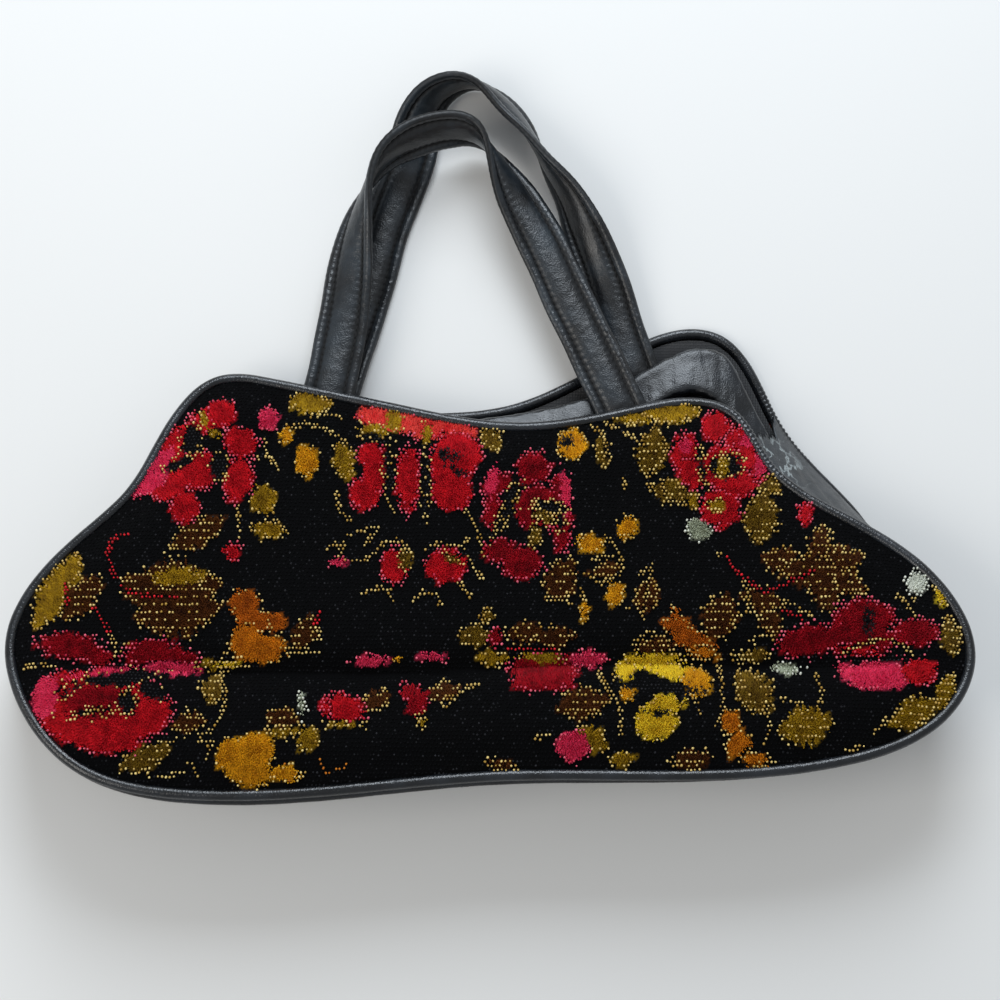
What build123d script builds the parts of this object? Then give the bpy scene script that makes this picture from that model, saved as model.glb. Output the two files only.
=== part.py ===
from build123d import *
import math
import os

os.makedirs("parts", exist_ok=True)

# A carpet bag lying on its back. X runs across the bag, Y from its base to its mouth, Z up.
# The origin is on the floor under the middle of the back panel.

# Carpet panels, cut alike for the front and the back
bag_width = 430.0
bag_height = 203.0
carpet_thickness = 2.2
seam_gap = 0.4
piping_diameter = 5.0

# The cut of one panel, from the left corner of the mouth round by the right lobe and the base
cut_outline = [
    (-127, 104),
    (-100, 103),
    (-42, 90),
    (14, 81),
    (69, 90),
    (99, 93),
    (112, 88),
    (128, 63),
    (163, 35),
    (202, 4),
    (215, -33),
    (205, -56),
    (150, -83),
    (4, -89),
    (-134, -99),
    (-178, -87),
    (-207, -55),
    (-215, -24),
    (-186, 26),
    (-166, 47),
    (-147, 84),
]

# The front panel lies on a slope, high over the base gusset and low at the mouth
rim_height = 41.5
rim_slope = 9.9

# The back panel slumps: it lies a little to the left, and its right mouth corner is pulled up
back_shift_x = -6.0
back_shift_y = -3.0
corner_pull = 45.0
waist_spread = 18.0
slump_left = -60.0
slump_right = 112.0
slump_low = 5.0
slump_drop = 16.0
pull_curve = 1.6

# Folds of the front panel
crease_y = -38.0
crease_depth = 9.0
crease_width = 9.0
base_bulge = 8.0
belly_bulge = 7.0
crease_reach = 165.0
crease_shape = 1.5
crease_fade = 8
pleat_depth = 4.2
pleat_width = 6.0
pleat_length = 62.0
pleat_drop = 16.0
pleat_places = [-98, -62, -30, 0, 28, 55]
crease_steps = [-26, -16, -8, 0, 8, 16, 26, 42, 60]
mouth_steps = [68, 49, 34, 21, 0]
base_step = 13.0
rim_ease = 26.0
edge_margin = 10.0
section_step = 19.0
section_count_side = 6

# Cut pile that stands over the loops: flowers as (x, y, radius), leaves as (x, y, length, turn in degrees)
pile_height = 0.8
pile_gap = 0.1
petal_count = 5
petal_depth = 0.2
leaf_width_share = 0.42
crimson_flowers = [
    (-136, 60, 26),
    (-34, 61, 24),
    (18, 34, 23),
    (103, 56, 22),
    (-166, -56, 29),
    (166, -30, 29),
    (28, -44, 13),
    (-42, 9, 7),
    (-20, 8, 8),
    (-64, -59, 9),
    (36, -75, 8),
    (143, 33, 5),
]
gold_flowers = [
    (-105, -81, 13),
    (79, -54, 17),
    (-103, -20, 16),
    (37, 68, 7),
    (62, 27, 5),
    (44, 18, 6),
    (56, -5, 5),
    (108, -72, 8),
]
brown_leaves = [
    (-188, -2, 40, 60),
    (-141, -6, 46, -12),
    (144, 6, 42, 15),
    (-119, 28, 24, 35),
    (-83, 84, 26, 0),
    (75, 75, 28, -12),
    (124, 32, 18, 60),
    (84, -24, 30, 8),
    (24, -21, 24, 5),
    (116, -40, 18, 80),
    (137, -66, 26, 20),
    (185, -62, 26, 40),
    (45, -61, 16, 40),
    (-87, -66, 22, 10),
    (-140, -84, 20, 20),
]

# Vinyl gusset, base board and lining
gusset_thickness = 1.2
gusset_top_drop = 44.0
gusset_mouth_margin = 9.0
board_thickness = 2.4
board_half_length = 118.0
board_gap = 0.3
lining_thickness = 0.6
lining_gap = 0.3
lining_margin = 6.0

# Mouth: two padded vinyl lips, each round a steel strip, joined by a pin at each end
lip_thickness = 6.4
lip_gap = 0.4
lip_round = 2.2
hinge_drop = 38.0
leg_length = 12.0
hinge_half_span = 127.0
strip_thickness = 1.6
strip_width = 4.0
strip_corner = 7.0
sleeve_gap = 0.15
lug_radius = 4.2
lug_gap = 0.15
pin_diameter = 3.0
pin_clearance = 0.05
pin_head_diameter = 5.6
pin_head_thickness = 1.0

# Points of the mouth: X from the pin on the left or the right, Y from the mouth line of the cut
lip_outer_left = [(-5.5, -30), (-3, -21), (11, -13.5), (67, -18.5)]
lip_outer_right = [(-127, -17.5), (-81, -7.5), (-61, 1), (-30, 15), (-20, 14), (-7, -5), (5.5, -30)]
lip_inner_left = [(15, -30), (26, -33.5), (67, -35.5)]
lip_inner_right = [(-127, -35.5), (-81, -28.5), (-55, -18), (-32, -8), (-21, -13), (-11, -30)]
strip_left = [(15, -19), (69, -24)]
strip_right = [(-125, -23), (-81, -14), (-61, -5.5), (-28, 9)]

# Press stud that holds the mouth closed
stud_x = 10.0
stud_drop = 28.5
stud_diameter = 9.0
stud_thickness = 1.2
knob_diameter = 3.8
knob_height = 1.0
knob_clearance = 0.25

# Handles: padded straps, each station is X, Y from the mouth line, Z and the lean of its face in degrees
strap_width = 24.0
strap_thickness = 4.6
strap_round = 2.0
front_handle_route = [
    (-79, -22, 19.2, 0),
    (-75, -7, 19.2, 0),
    (-71, 14, 18.2, 4),
    (-68, 35, 17.8, 12),
    (-66, 55, 18.5, 28),
    (-63, 75, 20.5, 52),
    (-58, 92, 22.5, 80),
    (-50, 106, 23.3, 102),
    (-39, 114, 24.0, 116),
    (-26, 119, 23.5, 118),
    (-12, 120, 21.5, 108),
    (-2, 114, 19.0, 82),
    (6, 102, 18.0, 55),
    (14, 86, 17.5, 26),
    (25, 64, 17.4, 10),
    (35, 41, 17.6, 4),
    (46, 17, 18.4, 0),
    (54, -1, 19.2, 0),
    (59, -12, 19.2, 0),
]
back_handle_route = [
    (-76, -11.2, 7.8, 180),
    (-73, -2, 7.6, 180),
    (-68, 15, 5.0, 180),
    (-63, 32, 3.2, 180),
    (-58, 49, 2.8, 180),
    (-53, 66, 2.8, 180),
    (-47, 83, 2.9, 178),
    (-41, 99, 3.6, 174),
    (-38, 113, 5.4, 168),
    (-35, 127, 8.4, 151),
    (-29, 139, 12.2, 126),
    (-19, 146, 13.4, 100),
    (-7, 147, 13.0, 76),
    (4, 140, 12.2, 62),
    (13, 130, 12.0, 62),
    (20, 119, 13.0, 75),
    (27, 106, 13.4, 92),
    (36, 92, 13.2, 112),
    (43.5, 76, 11.8, 134),
    (50.5, 59, 9.0, 152),
    (56, 42, 7.8, 165),
    (61, 25, 7.9, 174),
    (67, 6.5, 8.0, 180),
]

piping_radius = piping_diameter / 2
panel_inset = piping_diameter + seam_gap
slope_sine = math.sin(math.radians(rim_slope))
slope_cosine = math.cos(math.radians(rim_slope))
front_plane = Plane(origin=(0, 0, rim_height), x_dir=(1, 0, 0), z_dir=(0, slope_sine, slope_cosine))
back_lining_z = carpet_thickness + lining_gap
back_lip_z = back_lining_z + lining_thickness + lining_gap
front_lip_z = back_lip_z + lip_thickness + lip_gap
hinge_z = front_lip_z - lip_gap / 2
gusset_mouth_half = hinge_half_span + gusset_mouth_margin


def scaled_cut():
    """The panel's cut at the bag's real width and height."""
    xs = [x for x, y in cut_outline]
    ys = [y for x, y in cut_outline]
    across = bag_width / (max(xs) - min(xs))
    along = bag_height / (max(ys) - min(ys))
    return [(x * across, y * along) for x, y in cut_outline]


def mouth_points(left, right):
    """Points of the mouth, each given from the pin on its side and from the mouth line."""
    from_left = [(x - hinge_half_span, y + mouth_y) for x, y in left]
    from_right = [(x + hinge_half_span, y + mouth_y) for x, y in right]
    return from_left + from_right


def inset_loop(points, inset):
    """A closed loop of points, each moved inwards by the inset."""
    moved = []
    count = len(points)
    for i in range(count):
        before = points[i - 1]
        here = points[i]
        after = points[(i + 1) % count]
        run_in = math.dist(before, here)
        run_out = math.dist(here, after)
        along_x = (here[0] - before[0]) / run_in + (after[0] - here[0]) / run_out
        along_y = (here[1] - before[1]) / run_in + (after[1] - here[1]) / run_out
        size = math.hypot(along_x, along_y)
        moved.append((here[0] + inset * along_y / size, here[1] - inset * along_x / size))
    return moved


def slumped(x, y):
    """A point of the cut where the back panel has it."""
    reach = min(max((x - slump_left) / (slump_right - slump_left), 0), 1)
    slump_high = mouth_y - slump_drop
    rise = min(max((y - slump_low) / (slump_high - slump_low), 0), 1)
    spread = waist_spread * 4 * rise * (1 - rise) * reach
    return (x + back_shift_x + spread, y + back_shift_y + corner_pull * reach * rise**pull_curve)


def front_loop(inset):
    """The front panel's cut in its own plane."""
    return inset_loop(scaled_cut(), inset)


def back_loop(inset):
    """The back panel's cut on the floor."""
    return inset_loop([slumped(x, y) for x, y in scaled_cut()], inset)


def rim_distance(x, y, loop):
    """How far a point lies inside a closed loop, and nought outside it."""
    nearest = math.inf
    inside = False
    count = len(loop)
    for i in range(count):
        ax, ay = loop[i - 1]
        bx, by = loop[i]
        length = (bx - ax) ** 2 + (by - ay) ** 2
        share = min(max(((x - ax) * (bx - ax) + (y - ay) * (by - ay)) / length, 0), 1)
        nearest = min(nearest, math.hypot(x - ax - share * (bx - ax), y - ay - share * (by - ay)))
        if (ay > y) != (by > y) and x < ax + (y - ay) * (bx - ax) / (by - ay):
            inside = not inside
    return nearest if inside else 0.0


def relief(x, y, loop):
    """Height of the front panel's folds over its rim plane."""
    ease = min(rim_distance(x, y, loop) / rim_ease, 1)
    ease = ease * ease * (3 - 2 * ease)
    fade = 1 / (1 + (x / crease_reach) ** crease_fade)
    crease = crease_depth * math.exp(-abs((y - crease_y) / crease_width) ** crease_shape) * fade
    base = base_bulge if y < crease_y else belly_bulge
    nearest_pleat = min(abs(x - place) for place in pleat_places)
    reach = min(max(1 - (mouth_y - pleat_drop - y) / pleat_length, 0), 1)
    pleats = pleat_depth * reach * max(1 - nearest_pleat / pleat_width, 0)
    return ease * (base - crease - pleats)


def fold_sections():
    """Where along the bag the front panel's section is drawn: on and between its pleats."""
    halfway = [(a + b) / 2 for a, b in zip(pleat_places[:-1], pleat_places[1:])]
    left = [-bag_width / 2 - edge_margin + i * section_step for i in range(section_count_side)]
    right = [bag_width / 2 + edge_margin - i * section_step for i in range(section_count_side)]
    pleats = [place + side * pleat_width for place in pleat_places for side in (-1, 0, 1)]
    return sorted(left + right + halfway + pleats)


def finish(builder, label):
    """Name a finished piece and write it."""
    builder.part.label = label
    export_step(builder.part, f"parts/{label}.step")


def petal_loop(x, y, radius):
    """Points on the lobed outline of an open flower."""
    loop = []
    for i in range(2 * petal_count):
        reach = radius * (1 - (i % 2) * petal_depth)
        turn = math.pi * i / petal_count
        loop.append((x + reach * math.cos(turn), y + reach * math.sin(turn)))
    return loop


def leaf_sides(x, y, length, turn):
    """The two arcs of a pointed leaf, drawn on the open line."""
    along = Vector(length / 2, 0).rotate(Axis.Z, turn)
    across = Vector(0, length * leaf_width_share / 2).rotate(Axis.Z, turn)
    middle = Vector(x, y)
    ThreePointArc(middle - along, middle + across, middle + along)
    ThreePointArc(middle + along, middle - across, middle - along)


def folded_sheet(inset, raised, thickness, flowers=(), leaves=()):
    """A sheet of the front panel's form, its upper side raised over the fold line, cut to the outline.

    With flowers or leaves, only what lies inside them is left.
    """
    loop = scaled_cut()
    half_height = bag_height / 2 + edge_margin
    rows = [-half_height, -half_height + base_step] + [crease_y + step for step in crease_steps]
    rows += [half_height - step for step in mouth_steps]
    with BuildPart() as sheet:
        for x in fold_sections():
            section = Plane(front_plane.from_local_coords((x, 0, 0)), x_dir=front_plane.y_dir, z_dir=(1, 0, 0))
            upper = [(y, relief(x, y, loop) + raised) for y in rows]
            lower = [(y, height - thickness) for y, height in upper]
            with BuildSketch(section):
                with BuildLine():
                    Spline(*upper)
                    Spline(*lower)
                    Line(upper[0], lower[0])
                    Line(upper[-1], lower[-1])
                make_face()
        loft(ruled=True)
        with BuildSketch(front_plane.offset(-bag_height / 4)):
            for place in flowers:
                with BuildLine():
                    Spline(*petal_loop(*place), periodic=True)
                make_face()
            for place in leaves:
                with BuildLine():
                    leaf_sides(*place)
                make_face()
            with BuildLine():
                Spline(*front_loop(inset), periodic=True)
            make_face(mode=Mode.INTERSECT if flowers or leaves else Mode.ADD)
        extrude(amount=bag_height / 2, mode=Mode.INTERSECT)
    return sheet


def flat_sheet(inset, low_z, thickness):
    """A flat sheet of the back panel's form."""
    with BuildPart() as sheet:
        with BuildSketch(Plane.XY.offset(low_z)):
            with BuildLine():
                Spline(*back_loop(inset), periodic=True)
            make_face()
        extrude(amount=thickness)
    return sheet


def piping(points):
    """A round welt along a closed seam."""
    with BuildPart() as welt:
        with BuildLine() as seam:
            Spline(*points, periodic=True)
        with BuildSketch(Plane(origin=seam.line @ 0, z_dir=seam.line % 0)):
            Circle(piping_radius)
        sweep()
    return welt


def wall_between_panels(outer_inset, thickness, centre, size, mode):
    """A wall from the back panel's seam to the front panel's, cut by a block over the floor."""
    low_plane = Plane.XY.offset(piping_diameter + seam_gap)
    high_plane = front_plane.offset(-piping_radius - seam_gap)
    with BuildPart() as wall:
        for inset, step in ((outer_inset, Mode.ADD), (outer_inset + thickness, Mode.SUBTRACT)):
            for plane, loop in ((low_plane, back_loop(inset)), (high_plane, front_loop(inset))):
                with BuildSketch(plane):
                    with BuildLine():
                        Spline(*loop, periodic=True)
                    make_face()
            loft(ruled=True, mode=step)
        with BuildSketch(Plane.XY):
            with Locations(centre):
                Rectangle(*size)
        extrude(amount=bag_height, mode=mode)
    return wall


def lip(low_z, sleeve_z, outboard, recess_z):
    """A padded vinyl lip, with the sleeve that its steel strip lies in and a recess for its stud half."""
    with BuildPart() as band:
        with BuildSketch(Plane.XY.offset(low_z)):
            with BuildLine():
                outer = mouth_points(lip_outer_left, lip_outer_right)
                inner = mouth_points(lip_inner_left, lip_inner_right)
                Spline(*outer)
                Spline(*inner)
                Line(outer[0], inner[0])
                Line(outer[-1], inner[-1])
            make_face()
        extrude(amount=lip_thickness)
        fillet(band.faces().sort_by(Axis.Z)[-1].edges().group_by(SortBy.LENGTH)[-1], lip_round)
        with BuildSketch(Plane.XY.offset(sleeve_z - sleeve_gap)):
            with BuildLine():
                strip_path(outboard)
            trace(line_width=strip_thickness + 2 * sleeve_gap)
        extrude(amount=strip_width + 2 * sleeve_gap, mode=Mode.SUBTRACT)
        with BuildSketch(Plane.XY.offset(recess_z)):
            with Locations((stud_x, stud_y)):
                Circle(stud_diameter / 2 + sleeve_gap)
        extrude(amount=stud_thickness, mode=Mode.SUBTRACT)
    return band


def strip_path(outboard):
    """The line of a steel strip from pin to pin, its legs moved outwards."""
    reach = hinge_half_span + outboard
    leg_top = hinge_y + leg_length
    crest = mouth_points(strip_left, strip_right)
    route = [(-reach, hinge_y), (-reach, leg_top)] + crest + [(reach, leg_top), (reach, hinge_y)]
    return FilletPolyline(*route, radius=strip_corner)


def steel_strip(low_z, outboard):
    """A mouth strip with a lug at each end, bored for its pin."""
    with BuildPart() as strip:
        with BuildSketch(Plane.XY.offset(low_z)):
            with BuildLine():
                strip_path(outboard)
            trace(line_width=strip_thickness)
        extrude(amount=strip_width)
        for side in (-1, 1):
            face_x = side * (hinge_half_span + outboard) - strip_thickness / 2
            with BuildSketch(Plane(origin=(face_x, hinge_y, hinge_z), x_dir=(0, 1, 0), z_dir=(1, 0, 0))):
                Circle(lug_radius)
            extrude(amount=strip_thickness)
            with BuildSketch(Plane(origin=(face_x, hinge_y, hinge_z), x_dir=(0, 1, 0), z_dir=(1, 0, 0))):
                Circle(pin_diameter / 2 + pin_clearance)
            extrude(amount=strip_thickness, mode=Mode.SUBTRACT)
    return strip


def hinge_pin(side):
    """A riveted pin through the two lugs on one side."""
    grip = 2 * strip_thickness + lug_gap + 2 * pin_clearance
    middle_x = side * hinge_half_span
    with BuildPart() as pin:
        with BuildSketch(Plane(origin=(middle_x - grip / 2, hinge_y, hinge_z), z_dir=(1, 0, 0))):
            Circle(pin_diameter / 2)
        extrude(amount=grip)
        for end in (-1, 1):
            with BuildSketch(Plane(origin=(middle_x + end * grip / 2, hinge_y, hinge_z), z_dir=(end, 0, 0))):
                Circle(pin_head_diameter / 2)
            extrude(amount=pin_head_thickness)
    return pin


def stud_half(plate_z, knob_z, knob_radius, mode):
    """One half of the press stud: a round plate with a knob, or with the hole for it."""
    with BuildPart() as half:
        for low_z, radius, height, step in (
            (plate_z, stud_diameter / 2, stud_thickness, Mode.ADD),
            (knob_z, knob_radius, knob_height, mode),
        ):
            with BuildSketch(Plane.XY.offset(low_z)):
                with Locations((stud_x, stud_y)):
                    Circle(radius)
            extrude(amount=height, mode=step)
    return half


def strap(route):
    """A padded strap through its stations, turned at each by the lean of its face."""
    with BuildPart() as band:
        for i, (x, y, z, lean) in enumerate(route):
            before = Vector(*route[max(i - 1, 0)][:3])
            after = Vector(*route[min(i + 1, len(route) - 1)][:3])
            along = (after - before).normalized()
            outward = Vector(-along.Y, along.X, 0).normalized()
            upward = along.cross(outward)
            turn = math.radians(lean)
            across = outward * math.cos(turn) - upward * math.sin(turn)
            with BuildSketch(Plane(origin=(x, y + mouth_y, z), x_dir=across, z_dir=along)):
                RectangleRounded(strap_width, strap_thickness, strap_round)
        loft(ruled=True)
    return band


mouth_y = max(y for x, y in scaled_cut())
hinge_y = mouth_y - hinge_drop
stud_y = mouth_y - stud_drop

# Back panel and its piping
back_panel = flat_sheet(panel_inset, 0, carpet_thickness)
finish(back_panel, "back_panel")
back_piping = piping([(x, y, piping_radius) for x, y in back_loop(piping_radius)])
finish(back_piping, "back_piping")
back_lining = flat_sheet(lining_margin + piping_diameter, back_lining_z, lining_thickness)
finish(back_lining, "back_lining")

# Front panel, its piping and its lining
front_panel = folded_sheet(panel_inset, carpet_thickness / 2, carpet_thickness)
finish(front_panel, "front_panel")
front_piping = piping([front_plane.from_local_coords((x, y, 0)) for x, y in front_loop(piping_radius)])
finish(front_piping, "front_piping")
front_lining = folded_sheet(lining_margin + piping_diameter, -carpet_thickness / 2 - lining_gap, lining_thickness)
finish(front_lining, "front_lining")

# Cut pile of the flowers and leaves, over the loops of the front panel
pile_top = carpet_thickness / 2 + pile_gap + pile_height
crimson_pile = folded_sheet(panel_inset, pile_top, pile_height, flowers=crimson_flowers)
finish(crimson_pile, "crimson_pile")
gold_pile = folded_sheet(panel_inset, pile_top, pile_height, flowers=gold_flowers)
finish(gold_pile, "gold_pile")
brown_pile = folded_sheet(panel_inset, pile_top, pile_height, leaves=brown_leaves)
finish(brown_pile, "brown_pile")

# Gusset, open at the mouth, and the stiff board inside its base
gusset_inset = piping_radius - gusset_thickness / 2
mouth_middle = (0, mouth_y - gusset_top_drop + bag_height / 2)
mouth_size = (2 * gusset_mouth_half, bag_height)
gusset = wall_between_panels(gusset_inset, gusset_thickness, mouth_middle, mouth_size, Mode.SUBTRACT)
finish(gusset, "gusset")
board_inset = gusset_inset + gusset_thickness + board_gap
base_middle = (0, -bag_height / 2)
base_size = (2 * board_half_length, bag_height)
base_board = wall_between_panels(board_inset, board_thickness, base_middle, base_size, Mode.INTERSECT)
finish(base_board, "base_board")

# Mouth strips, lips and hinge pins
strip_drop = (lip_thickness - strip_width) / 2
back_outboard = (strip_thickness + lug_gap) / 2
back_strip = steel_strip(back_lip_z + strip_drop, back_outboard)
finish(back_strip, "back_frame")
front_strip = steel_strip(front_lip_z + strip_drop, -back_outboard)
finish(front_strip, "front_frame")
socket_z = back_lip_z + lip_thickness - stud_thickness
back_lip = lip(back_lip_z, back_lip_z + strip_drop, back_outboard, socket_z)
finish(back_lip, "back_lip")
front_lip = lip(front_lip_z, front_lip_z + strip_drop, -back_outboard, front_lip_z)
finish(front_lip, "front_lip")

for side, label in ((-1, "left_hinge_pin"), (1, "right_hinge_pin")):
    finish(hinge_pin(side), label)

# Press stud: a socket let into the back lip and a knob on the front lip
hole_z = front_lip_z - knob_height - knob_clearance
catch_socket = stud_half(socket_z, hole_z, knob_diameter / 2 + knob_clearance, Mode.SUBTRACT)
finish(catch_socket, "catch_socket")
catch_stud = stud_half(front_lip_z, front_lip_z - knob_height, knob_diameter / 2, Mode.ADD)
finish(catch_stud, "catch_stud")

# Handles
front_handle = strap(front_handle_route)
finish(front_handle, "front_handle")
back_handle = strap(back_handle_route)
finish(back_handle, "back_handle")
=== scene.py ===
"""A flowered carpet handbag that lies on its back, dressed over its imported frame."""

import logging
import math
from dataclasses import dataclass
from enum import Enum

import bmesh
import bpy
import numpy as np
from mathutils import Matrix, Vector, noise


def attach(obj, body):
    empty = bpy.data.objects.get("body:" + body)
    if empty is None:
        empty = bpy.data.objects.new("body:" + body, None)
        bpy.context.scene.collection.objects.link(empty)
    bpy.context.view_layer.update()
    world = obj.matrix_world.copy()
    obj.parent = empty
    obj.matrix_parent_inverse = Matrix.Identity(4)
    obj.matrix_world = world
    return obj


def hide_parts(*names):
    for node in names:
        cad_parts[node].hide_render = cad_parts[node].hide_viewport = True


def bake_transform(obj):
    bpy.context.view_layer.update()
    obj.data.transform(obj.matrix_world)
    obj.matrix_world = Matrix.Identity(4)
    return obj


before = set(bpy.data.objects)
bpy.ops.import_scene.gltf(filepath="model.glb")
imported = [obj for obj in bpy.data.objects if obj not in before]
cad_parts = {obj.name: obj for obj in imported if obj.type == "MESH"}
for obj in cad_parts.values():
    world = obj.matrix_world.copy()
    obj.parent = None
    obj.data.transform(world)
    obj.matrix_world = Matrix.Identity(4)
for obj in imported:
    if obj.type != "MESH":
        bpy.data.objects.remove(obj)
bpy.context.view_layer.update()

log = logging.getLogger("carpet_bag")

MM = 0.001
SEED = 7
PIPING_RADIUS = 2.5
SEAM_GAP = 0.4
CARPET_THICKNESS = 2.2
BODY = "bag_body"
MOUTH = "front_mouth"


class Shape(Enum):
    """Form of one spot of the woven pattern."""

    OVAL = "oval"
    LEAF = "leaf"
    STROKE = "stroke"


class Fill(Enum):
    """How the inside of a field is woven."""

    PILE = "cut pile"
    HATCH = "cut pile crossed by loops"
    LOOPS = "loops"
    BARE = "black ground"


class Yarn(Enum):
    """What stands on one place of the weave."""

    GROUND = 0
    LOOP = 1
    PILE = 2


class Unit(Enum):
    """The small shape that a scatter repeats."""

    FIBRE = "fibre"
    LOOP = "loop"
    LOW_LOOP = "low loop"
    STITCH = "stitch"


class Family(Enum):
    """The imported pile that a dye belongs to."""

    CRIMSON = "crimson_pile"
    GOLD = "gold_pile"
    BROWN = "brown_pile"


class Ink(Enum):
    """Dye of the yarn, as a deep and a bright shade."""

    BLACK = ((0.0010, 0.0010, 0.0013), (0.030, 0.030, 0.034))
    CRIMSON = ((0.12, 0.001, 0.004), (0.50, 0.005, 0.016))
    RED = ((0.34, 0.002, 0.008), (0.84, 0.012, 0.024))
    PINK = ((0.64, 0.008, 0.055), (0.96, 0.055, 0.15))
    CORAL = ((0.72, 0.012, 0.018), (0.98, 0.10, 0.075))
    GOLD = ((0.48, 0.17, 0.003), (0.96, 0.47, 0.012))
    YELLOW = ((0.62, 0.35, 0.006), (0.98, 0.70, 0.030))
    ORANGE = ((0.42, 0.10, 0.003), (0.88, 0.30, 0.010))
    RUST = ((0.26, 0.045, 0.003), (0.68, 0.17, 0.008))
    MUSTARD = ((0.14, 0.065, 0.003), (0.54, 0.32, 0.012))
    BROWN = ((0.030, 0.007, 0.002), (0.12, 0.034, 0.005))
    OLIVE = ((0.070, 0.030, 0.003), (0.26, 0.15, 0.010))
    SAGE = ((0.22, 0.24, 0.15), (0.56, 0.60, 0.44))
    WHITE = ((0.62, 0.64, 0.52), (0.86, 0.87, 0.76))
    STRAW = ((0.46, 0.26, 0.035), (0.95, 0.72, 0.26))
    ROSE_LOOP = ((0.52, 0.008, 0.040), (0.95, 0.17, 0.25))

    def family(self) -> Family:
        """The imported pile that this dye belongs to."""
        if self in (Ink.CRIMSON, Ink.RED, Ink.PINK, Ink.CORAL):
            return Family.CRIMSON
        return Family.BROWN if self in (Ink.BROWN, Ink.OLIVE) else Family.GOLD


@dataclass(frozen=True)
class Field:
    """One field of the woven pattern, with its spots in pixels of the photo's frame.

    An oval or a leaf is (x, y, half length, half width, turn in degrees). A stroke is a list of points.
    """

    ink: Ink
    rim: Ink
    fill: Fill
    shape: Shape
    spots: tuple
    rim_share: float = 0.8


def ovals(ink: Ink, rim: Ink, *spots: tuple, fill: Fill = Fill.PILE, share: float = 0.8) -> Field:
    """A field of round petals or buds."""
    return Field(ink, rim, fill, Shape.OVAL, spots, share)


def leaves(ink: Ink, *spots: tuple, fill: Fill = Fill.HATCH, rim: Ink = Ink.STRAW) -> Field:
    """A field of pointed leaves."""
    return Field(ink, rim, fill, Shape.LEAF, spots, 0.88)


def strokes(ink: Ink, *lines: tuple) -> Field:
    """Stems and sprigs, one loop wide."""
    return Field(ink, ink, Fill.LOOPS, Shape.STROKE, lines, 0.0)


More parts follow.
